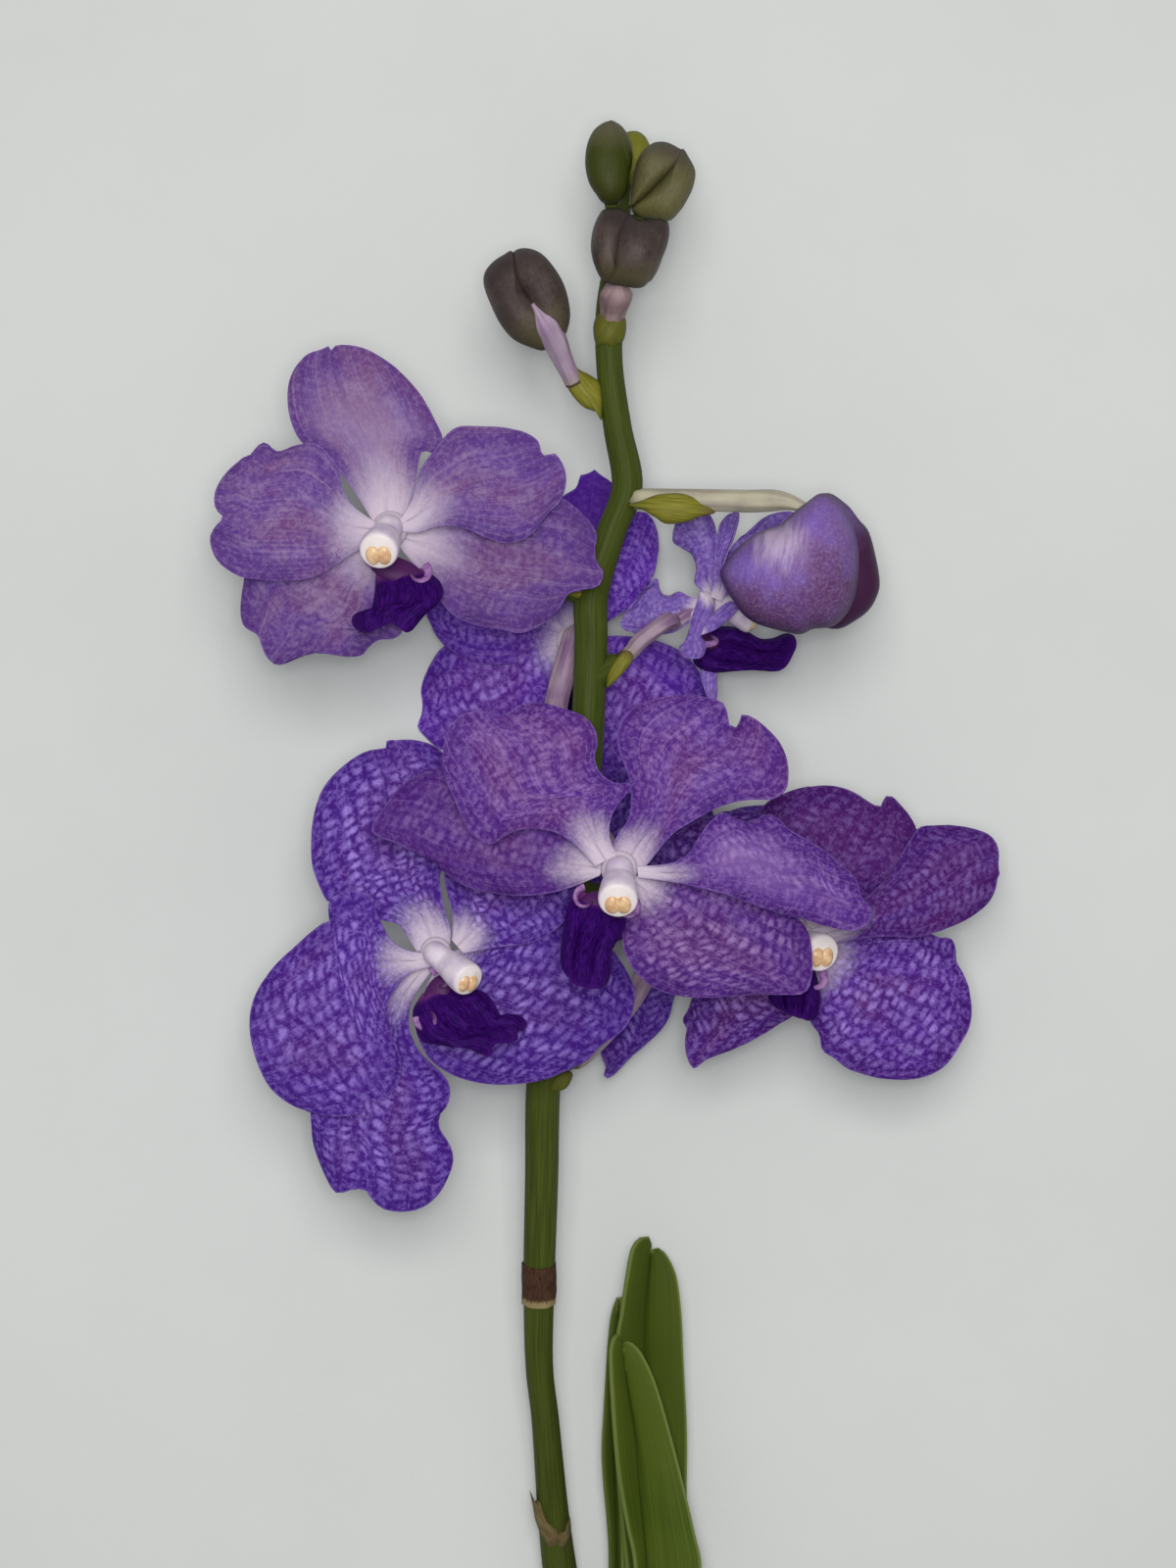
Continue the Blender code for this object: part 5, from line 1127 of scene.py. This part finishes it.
def leaf_paint():
    """Green with fine veins, pale rims and a pale fold."""
    p = Paint("leaf_skin", 0.5, 0.08)
    across, rim = p.mark("place")[::2]
    darker = p.mark("tone")[2]
    vein = p.streaks(14.0, 0.02, 1.0, 3.0, 0.6)
    colour = p.mix(vein.ease(0.3, 0.7), (0.036, 0.062, 0.006), (0.072, 0.108, 0.010))
    colour = p.mix(p.patches(35.0).ease(0.4, 0.7) * 0.5, colour, (0.085, 0.110, 0.012))
    colour = p.mix(darker, colour, (0.026, 0.038, 0.005))
    colour = p.mix(rim.ease(0.9, 0.2) * 0.7, colour, (0.16, 0.20, 0.05))
    fold = across.math("ABSOLUTE").ease(0.06, 0.0) * 0.5
    return p.done(p.mix(fold, colour, (0.10, 0.19, 0.03)), vein)


def rim_share(s, c):
    """From 0 at a tepal's middle and claw to 1 at its rim."""
    return (1.0 - (1.0 - c * c) * (1.0 - s ** 4)) * ease(0.05, 0.45, s)


def relief(tepal, s, c, along, across, ruffle):
    """How far a tepal stands forward of its flower's plane."""
    z = tepal.height + tepal.rise * along - tepal.bend * along * along
    return z + tepal.cup * across ** 2 + ruffle * rim_share(s, c) ** 2 - groove(c) * (1.0 - s)


def uneven(x, y, tepal, s):
    """Slow unevenness beyond the claw."""
    return noise((x * UNEVEN_PITCH, y * UNEVEN_PITCH, tepal.angle)) * ease(0.1, 0.4, s)


def free_point(flower, tepal, s, c):
    """A point of a tepal's middle surface: s from foot to tip, c from left to right edge."""
    spread = CLAW + (1.0 - CLAW) * sin(0.5 * pi * min(1.0, s / WIDEST) ** NECK)
    if s > WIDEST:
        spread -= 0.12 * ((s - WIDEST) / (1.0 - WIDEST)) ** 2
    along = s - BLUNT * s ** 3 * (1.0 - sqrt(1.0 - (0.97 * c) ** 2))
    middle = RIPPLE_CENTRE * tepal.length
    x = c * spread * tepal.half_width
    y = along * tepal.length
    ripple = tepal.waves * atan2(x, y - middle) + tepal.phase
    lobing = 1.0 + LOBE_DEPTH * rim_share(s, c) ** 3 * sin(ripple + 1.3)
    x *= lobing
    y = middle + (y - middle) * lobing
    z = relief(tepal, s, c, along, c * spread, tepal.wave * sin(ripple)) + 0.35 * uneven(x, y, tepal, s)
    turn = radians(tepal.angle)
    local = (x * cos(turn) + y * sin(turn), y * cos(turn) - x * sin(turn), z * flower.away)
    return Vector(flower.centre) + Vector(local)


def rimmed_point(flower, tepal, spread_out, s, c):
    """The same, but with its X and Y from the petal's own rim."""
    x, y = spread_out(s, c)
    turn = radians(tepal.angle)
    dx = x - flower.centre[0]
    dy = y - flower.centre[1]
    across = dx * cos(turn) - dy * sin(turn)
    along = max((dx * sin(turn) + dy * cos(turn)) / tepal.length, 0.0)
    ripple = tepal.waves * atan2(across, (along - RIPPLE_CENTRE) * tepal.length) + tepal.phase
    z = relief(tepal, s, c, along, across / tepal.half_width, 1.3 * tepal.wave * sin(ripple))
    z += 0.7 * uneven(x, y, tepal, s)
    return Vector((x, y, flower.centre[2] + z * flower.away))


def flower_axis(flower):
    """The way that the flower's plane faces."""
    tilt = radians(flower.tilt)
    return Vector((sin(tilt), 0.0, cos(tilt))) * flower.away


def rim_curve(points):
    """The place at u from 0 to 1, evenly along a smooth line through the points."""
    count = (len(points) - 1) * RIM_STEPS
    line = curve([Vector(p) for p in points], count)
    reach = [0.0]
    for a, b in zip(line, line[1:]):
        reach.append(reach[-1] + (b - a).length)

    def at(u):
        goal = min(max(u, 0.0), 1.0) * reach[-1]
        i = min(max(bisect(reach, goal), 1), count)
        return line[i - 1].lerp(line[i], (goal - reach[i - 1]) / (reach[i] - reach[i - 1]))
    return at


def rim_sheet(points):
    """Fills a rim: its first part is the left edge, then the tip, then the right edge."""
    at = rim_curve(points)
    left_end, right_end = SHOULDERS
    feet = at(0.0), at(1.0)
    shoulders = at(left_end), at(right_end)

    def point(s, c):
        u = 0.5 + 0.5 * c
        left = at(left_end * s)
        right = at(1.0 - (1.0 - right_end) * s)
        foot = feet[0].lerp(feet[1], u)
        tip = at(left_end + (right_end - left_end) * u)
        corners = foot * (1.0 - s) + shoulders[0].lerp(shoulders[1], u) * s
        return left.lerp(right, u) + foot * (1.0 - s) + tip * s - corners
    return point


def petals(name, flower, paint):
    """The petals and sepals of a flower, with the white cushion where their claws meet."""
    skin = Skin()
    for k, tepal in enumerate(flower.tepals):
        point = partial(free_point, flower, tepal)
        if k in RIMS[name]:
            point = partial(rimmed_point, flower, tepal, rim_sheet(RIMS[name][k]))
        cells = (tepal.half_width / LANE_WIDTH, tepal.length / CELL_LENGTH)
        skin.tone_now = (tepal.net, tepal.red, tepal.shade)
        skin.sheet(point, PETAL_ROWS, PETAL_COLUMNS, PETAL_THICKNESS, 7.3 * k + len(name), cells)
    axis = flower_axis(flower)
    side = axis.orthogonal().normalized() * CUSHION * flower.size
    axes = (side, axis.cross(side), axis * CUSHION_HEIGHT * flower.size)
    skin.ball(seen(flower.centre) + axis * CUSHION_LIFT, axes)
    slot = "tepal_pale" if FLOWER_LOOK[name] in PALE_LOOKS else "tepal_violet"
    skin.piece(name + "_petals", paint, [name + "_tepals"], slot)


def column(name, flower, wax, cream):
    """The column with its rim, and the two-lobed cap in its end."""
    way = Vector(flower.column)
    out = way.normalized()
    axis = flower_axis(flower)
    foot = seen(flower.centre) + axis * COLUMN_FOOT
    stations = [foot - axis * COLUMN_SUNK, foot, foot + axis * COLUMN_NECK * way.length]
    stations += [foot + way * u for u in COLUMN_STATIONS]
    path = curve(stations, COLUMN_STEPS)
    shares = curve(COLUMN_PROFILE, COLUMN_STEPS)
    end = path[-1]
    for reach, share in COLUMN_MOUTH:
        path.append(end + out * reach)
        shares.append(share)
    skin = Skin()
    skin.tube(path, [COLUMN_RADIUS * flower.size * share for share in shares], sides=32, round_ends=False)
    skin.piece(name + "_column", wax, [name + "_column"], "column_white")

    side = out.cross(Vector((0.0, 1.0, 0.0))).normalized()
    up = side.cross(out)
    wide, high, deep = CAP_LOBE
    axes = (side * wide * flower.size, up * high * flower.size, out * deep)
    cap = Skin()
    for hand in (-1.0, 1.0):
        off = (side * CAP_APART * hand - up * CAP_LOW) * flower.size
        cap.ball(end + out * CAP_OUT + off, axes)
    cap.piece(name + "_anther", cream, [name + "_column"], "column_white")


def keels(s, c, high, fade):
    """Three ridges along a lip, lower by fade towards its tip."""
    return high * cos(3.0 * pi * c) * ease(0.06, 0.35, s) * (1.0 - fade * ease(0.7, 1.0, s))


def lip(name, flower, velvet, mauve):
    """The tongue with its three keels and forked tip, and the two curled ears at its foot."""
    way = Vector(flower.lip)
    length = way.length
    out = way.normalized()
    side = out.cross(Vector(flower.lip_up)).normalized()
    up = side.cross(out)
    foot = Vector(flower.centre) + Vector(flower.lip_foot)

    def tongue(s, c):
        wide = 0.50 + 0.50 * sin(pi * min(1.0, s * 0.95 + 0.12)) ** 0.8
        wide += 0.14 * ease(0.75, 1.0, s)
        height = 1.6 * sin(pi * s) - 2.6 * c * c * wide + keels(s, c, 1.0, 0.6)
        height += 0.5 * sin(9.0 * s + 4.0 * c) * c * c
        fork = 0.10 * ease(0.6, 1.0, s) * (1.0 - 1.6 * exp(-(c / 0.22) ** 2) - 0.9 * c ** 6)
        reach = s - 0.14 * s ** 2 * c * c + fork
        return foot + out * length * reach + side * flower.lip_width * wide * c + up * height

    def rimmed(s, c):
        x, y = spread_out(s, c)
        height = 1.4 * sin(pi * s) - 2.4 * c * c + keels(s, c, 0.9, 0.5)
        height += 0.5 * sin(9.0 * s + 4.0 * c) * c * c
        return Vector((x, y, foot.z + way.z * s + height))
    point = tongue
    if name in LIP_RIMS:
        spread_out = rim_sheet(LIP_RIMS[name])
        point = rimmed
    skin = Skin()
    skin.sheet(point, 30, 26, LIP_THICKNESS, 1.0, (6.0, length / 2.0), (flower.lip_width, length))
    skin.piece(name + "_lip", velvet, [name + "_lip"], "lip_violet")

    ears = Skin()
    for hand in (-1.0, 1.0):
        path = []
        for u in even(0.0, 1.0, EAR_STEPS):
            curl = radians(20.0 + 230.0 * u)
            reach = EAR_CURL * (1.0 - 0.45 * u)
            across = hand * (flower.lip_width * 0.42 + 1.2 + reach * sin(curl))
            spot = seen(foot - out * 0.5) + side * across
            path.append(spot + up * (0.8 + 1.5 * u) + out * (0.8 - reach * cos(curl)))
        ears.tube(path, even(*EAR_RADII, EAR_STEPS), sides=14, squash=0.6)
    axes = (side * flower.lip_width * 0.72, out * 3.0, up * 1.3)
    ears.ball(seen(foot) + out * 0.6, axes, place=(0.0, 1.0, INSIDE))
    ears.piece(name + "_lip_ears", mauve, [name + "_lip"], "lip_violet")


def ribbed(ribs, depth, twist):
    """Ribs that wind round a stalk."""
    def shape(u, turn):
        return 1.0 + depth * cos(ribs * turn + twist * u)
    return shape


def pedicel(name, flower, paint):
    """A flower's stalk, from the stub on the stem to the back of the flower."""
    axis = Vector(flower.entry).normalized() if flower.entry else flower_axis(flower)
    stub = Vector(flower.stub).normalized()
    start = seen(flower.node) + stub * STALK_START
    end = seen(flower.centre) + axis * STALK_END
    points = [start, start + stub * 3.5] + [seen(p) for p in flower.through]
    points += [end - axis * 6.0, end - axis * 3.0, end]
    radius = PEDICEL_RADIUS * flower.size
    radii = [radius * (1.0 + 0.35 * sin(pi * u)) for u in even(0.0, 1.0, PEDICEL_STEPS)]
    skin = Skin()
    skin.tube(curve(points, PEDICEL_STEPS), radii, sides=36, shape=ribbed(6, 0.07, 3.0))
    skin.piece(name + "_pedicel", paint, [name + "_pedicel"], "stalk_pink")


def bud_stalk(name, points, first_radius, last_radius, paint):
    """A bud's stalk, which widens and then ends in the bud."""
    points = [seen(p) for p in points]
    points.insert(0, points[0] - (points[1] - points[0]).normalized() * 1.5)
    radii = []
    for u in even(0.0, 1.0, BUD_STALK_STEPS):
        radius = first_radius + (last_radius - first_radius) * ease(0.2, 0.7, u)
        radii.append(radius * (1.0 - 0.75 * ease(0.74, 1.0, u)))
    skin = Skin()
    skin.tube(curve(points, BUD_STALK_STEPS), radii, sides=30, shape=ribbed(6, 0.06, 2.0))
    skin.piece(name, paint, [name], "stalk_pink")


def bud_shape(name, bud, paint, slot):
    """A bud's lobes, which meet in grooves."""
    skin = Skin()
    for k, lobe in enumerate(bud.lobes):
        skin.puff(lobe, bud.foot, bud.tip, 3.1 * k + len(name))
    skin.piece(name, paint, [name], slot)


def scales(name, lobes, paint, node, slot):
    """Flat rounded scales, each along its own outline."""
    skin = Skin()
    for k, lobe in enumerate(lobes):
        foot = lobe.outline[0]
        tip = lobe.outline[len(lobe.outline) // 2]
        skin.puff(lobe, (*foot, 0.0), (*tip, 0.0), k)
    skin.piece(name, paint, [node], slot)


def ribbed_stem(u, turn):
    """Faint ribs that wind slowly round the stem."""
    return 1.0 + 0.012 * sin(5.0 * turn + 9.0 * u)


def flower_stem(path, radii, green):
    """The flower stem, with the stubs that its stalks grow from."""
    skin = Skin()
    skin.tube(path, radii, sides=32, lanes=3.0, shape=ribbed_stem)
    for flower in FLOWERS.values():
        node = seen(flower.node)
        end = node + Vector(flower.stub).normalized() * STUB_LENGTH
        stub_radii = [STUB_RADIUS - 1.1 * ease(0.0, 0.8, u) for u in even(0.0, 1.0)]
        skin.tube(even(node, end), stub_radii, lanes=3.0)
    top = seen(STEM_PATH[-1])
    for name in TIP_BUDS:
        foot = seen(BUDS[name].foot)
        way = (foot - top).normalized()
        skin.tube(even(top - way * 1.5, foot + way * 0.6), even(*TIP_STALK_RADII), sides=20)
    skin.piece("flower_stem", green, ["flower_stem"], "stem_green")


def crumpled(u, turn):
    """The dry band's folds and rings."""
    return 1.0 + 0.03 * sin(7.0 * turn + 5.0 * u) + 0.02 * sin(23.0 * u)


def dry_band(path, radii, husk):
    """The dry sheath round the lower stem."""
    low, high = BAND_ENDS
    held = [(spot, radius + BAND_THICKNESS) for spot, radius in zip(path, radii) if low < spot.y < high]
    skin = Skin()
    skin.tube(*zip(*held), sides=48, lanes=4.0, shape=crumpled, round_ends=False)
    skin.piece("dry_band", husk, ["flower_stem"], "stem_green")


def shoot_foot(straw):
    """The cut foot that the leaves and the flower stem grow from."""
    skin = Skin()
    path = curve([Vector(p) for p in SHOOT_FOOT_PATH], SHOOT_FOOT_STEPS)
    radii = curve(SHOOT_FOOT_RADII, SHOOT_FOOT_STEPS)
    skin.tube(path, radii, sides=40, squash=0.92, lanes=3.0, round_ends=False)
    for name, inner in LEAF_FEET.items():
        inner = Vector(inner)
        outer = seen(LEAVES[name].fold[0]) + Vector((0.4, 0.0, 1.2))
        way = (outer - inner).normalized()
        skin.tube(even(inner, outer + way * 2.0), even(*LEAF_FOOT_RADII), lanes=3.0)
    skin.piece("shoot_foot", straw, ["flower_stem"], "stem_green")


def leaf_blade(name, leaf, paint):
    """A folded leaf between its two rims."""
    fold = [Vector(p) for p in leaf.fold]
    left = rim_curve(leaf.left)
    right = rim_curve(leaf.right)
    length = (fold[-1] - fold[0]).length

    def point(s, c):
        spine = smooth(fold, s)
        rim, steep = (left(s), leaf.left_up) if c < 0 else (right(s), leaf.right_up)
        flat = Vector(spine[:2]).lerp(rim, abs(c))
        up = steep * abs(rim.x - spine.x) * abs(c) + 0.5 * sin(pi * abs(c)) - groove(c, LEAF_GROOVE_WIDTH)
        return Vector((flat.x, flat.y, spine.z + up))
    skin = Skin()
    skin.tone_now = (1.0, 0.0, leaf.shade)
    skin.sheet(point, LEAF_ROWS, LEAF_COLUMNS, LEAF_THICKNESS, len(name), (LEAF_CELLS, length))
    skin.piece(name, paint, [name], "leaf_green")


def pale_floor():
    mesh = bpy.data.meshes.new("floor")
    square = [(x * FLOOR_HALF, y * FLOOR_HALF, 0.0) for x, y in ((-1, -1), (1, -1), (1, 1), (-1, 1))]
    mesh.from_pydata(square, [], [(0, 1, 2, 3)])
    p = Paint("floor_pale", 0.85, 0.2)
    patch = p.patches(9.0, 5.0, 0.6)
    colour = p.mix(patch.ease(0.35, 0.7), (0.635, 0.655, 0.642), (0.612, 0.630, 0.618))
    mesh.materials.append(p.done(colour, p.patches(700.0), 0.0002, 0.3))
    floor = bpy.data.objects.new("floor", mesh)
    floor.location.z = -FLOOR_LOW
    bpy.context.scene.collection.objects.link(floor)
    floor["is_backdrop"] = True


def soft_light(name, place, size, power, colour=(1.0, 1.0, 1.0)):
    data = bpy.data.lights.new(name, "AREA")
    data.shape = "SQUARE"
    data.size = size
    data.energy = power
    data.color = colour
    light = bpy.data.objects.new(name, data)
    light.location = place
    light.rotation_mode = "QUATERNION"
    light.rotation_quaternion = (AIM - Vector(place)).to_track_quat("-Z", "Y")
    bpy.context.scene.collection.objects.link(light)


def studio():
    """A light from above, a smaller one along the line of sight, a pale surround, and the camera."""
    soft_light("key", (0.0, 0.24, 1.12), 0.4, 6.2, (1.0, 0.985, 0.965))
    soft_light("front", placed((0.0, 0.0, VIEW_DISTANCE + 8.0)), 0.10, 1.8)
    world = bpy.data.worlds.new("surround")
    world.use_nodes = True
    surround = world.node_tree.nodes["Background"].inputs
    surround["Color"].default_value = (0.88, 0.89, 0.90, 1.0)
    surround["Strength"].default_value = 0.34
    bpy.context.scene.world = world
    bpy.context.scene.view_settings.view_transform = "Standard"
    data = bpy.data.cameras.new("camera")
    data.sensor_width = SENSOR
    data.lens = SENSOR * VIEW_DISTANCE / FRAME_HEIGHT
    data.clip_start = 0.01
    camera = bpy.data.objects.new("camera", data)
    camera.location = placed((0.0, 0.0, VIEW_DISTANCE))
    bpy.context.scene.collection.objects.link(camera)
    bpy.context.scene.camera = camera


def build_stem():
    """The stem with everything dry or green that sits on it, and the foot."""
    path = curve([seen(p) for p in STEM_PATH], STEM_STEPS)
    radii = curve(STEM_RADII, STEM_STEPS)
    flower_stem(path, radii, stem_paint())
    scales("stem_bracts", BRACTS, bract_paint(), "flower_stem", "stem_green")
    brown = husk_paint("husk_brown", (0.026, 0.010, 0.006), (0.090, 0.040, 0.020), (0.27, 0.21, 0.10))
    dry_band(path, radii, brown)
    shoot_foot(husk_paint("husk_straw", (0.20, 0.14, 0.06), (0.46, 0.38, 0.24)))


def build_flowers():
    paints = {key: petal_paint("petal_" + key, look) for key, look in LOOKS.items()}
    velvet = lip_paint()
    mauve = auricle_paint()
    wax = column_paint()
    cream = anther_paint()
    blush = stalk_paint("stalk_blush", (0.36, 0.27, 0.33), (0.20, 0.11, 0.22))
    for name, flower in FLOWERS.items():
        petals(name, flower, paints[FLOWER_LOOK[name]])
        column(name, flower, wax, cream)
        lip(name, flower, velvet, mauve)
        pedicel(name, flower, blush)


def build_buds():
    plum = bud_paint("bud_plum", (0.088, 0.064, 0.056), (0.046, 0.032, 0.031), (0.011, 0.007, 0.007),
                     (0.080, 0.072, 0.026), (0.036, 0.025, 0.026))
    grey = bud_paint("bud_grey", (0.120, 0.110, 0.050), (0.094, 0.088, 0.034), (0.022, 0.016, 0.010),
                     (0.125, 0.115, 0.038), (0.070, 0.056, 0.050))
    olive = bud_paint("bud_olive", (0.036, 0.045, 0.004), (0.046, 0.052, 0.006), (0.016, 0.019, 0.003),
                      (0.028, 0.032, 0.004), (0.115, 0.105, 0.065))
    lime = bud_paint("bud_lime", (0.150, 0.160, 0.012), (0.180, 0.180, 0.018), (0.070, 0.075, 0.008),
                     (0.110, 0.120, 0.012), (0.160, 0.160, 0.020))
    coats = {"opening_bud": (opening_bud_paint(), "bud_violet"), "bud_1": (plum, "bud_purple"),
             "bud_2": (plum, "bud_purple"), "bud_3": (grey, "bud_purple"), "bud_4": (olive, "bud_green"),
             "bud_5": (lime, "bud_green")}
    for name, bud in BUDS.items():
        bud_shape(name, bud, *coats[name])
    stalks = {"opening_bud_pedicel": stalk_paint("stalk_cream", (0.46, 0.43, 0.31), (0.33, 0.29, 0.24), 0.25),
              "bud_1_pedicel": stalk_paint("stalk_pink", (0.40, 0.31, 0.40), (0.26, 0.17, 0.27)),
              "bud_2_pedicel": stalk_paint("stalk_rose", (0.34, 0.24, 0.25), (0.18, 0.11, 0.12))}
    for name, (points, first_radius, last_radius) in BUD_STALKS.items():
        bud_stalk(name, points, first_radius, last_radius, stalks[name])


def build_leaves():
    green = leaf_paint()
    for name, leaf in LEAVES.items():
        leaf_blade(name, leaf, green)
    olive = husk_paint("husk_olive", (0.085, 0.060, 0.022), (0.190, 0.150, 0.065))
    scales("basal_bract", BASAL_BRACT, olive, "basal_bract", "straw")


def corners(box):
    """Both corners of a box as plain lists."""
    return [list(corner) for corner in box]


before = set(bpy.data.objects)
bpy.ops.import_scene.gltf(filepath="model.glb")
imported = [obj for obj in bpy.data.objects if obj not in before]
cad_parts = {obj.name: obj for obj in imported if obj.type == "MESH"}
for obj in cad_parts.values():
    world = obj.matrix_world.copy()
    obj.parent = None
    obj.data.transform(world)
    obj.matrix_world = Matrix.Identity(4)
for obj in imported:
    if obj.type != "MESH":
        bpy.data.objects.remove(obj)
cad_box = corners(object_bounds())
build_stem()
build_flowers()
build_buds()
build_leaves()
pale_floor()
studio()
{"cad": cad_box, "visual": corners(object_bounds())}
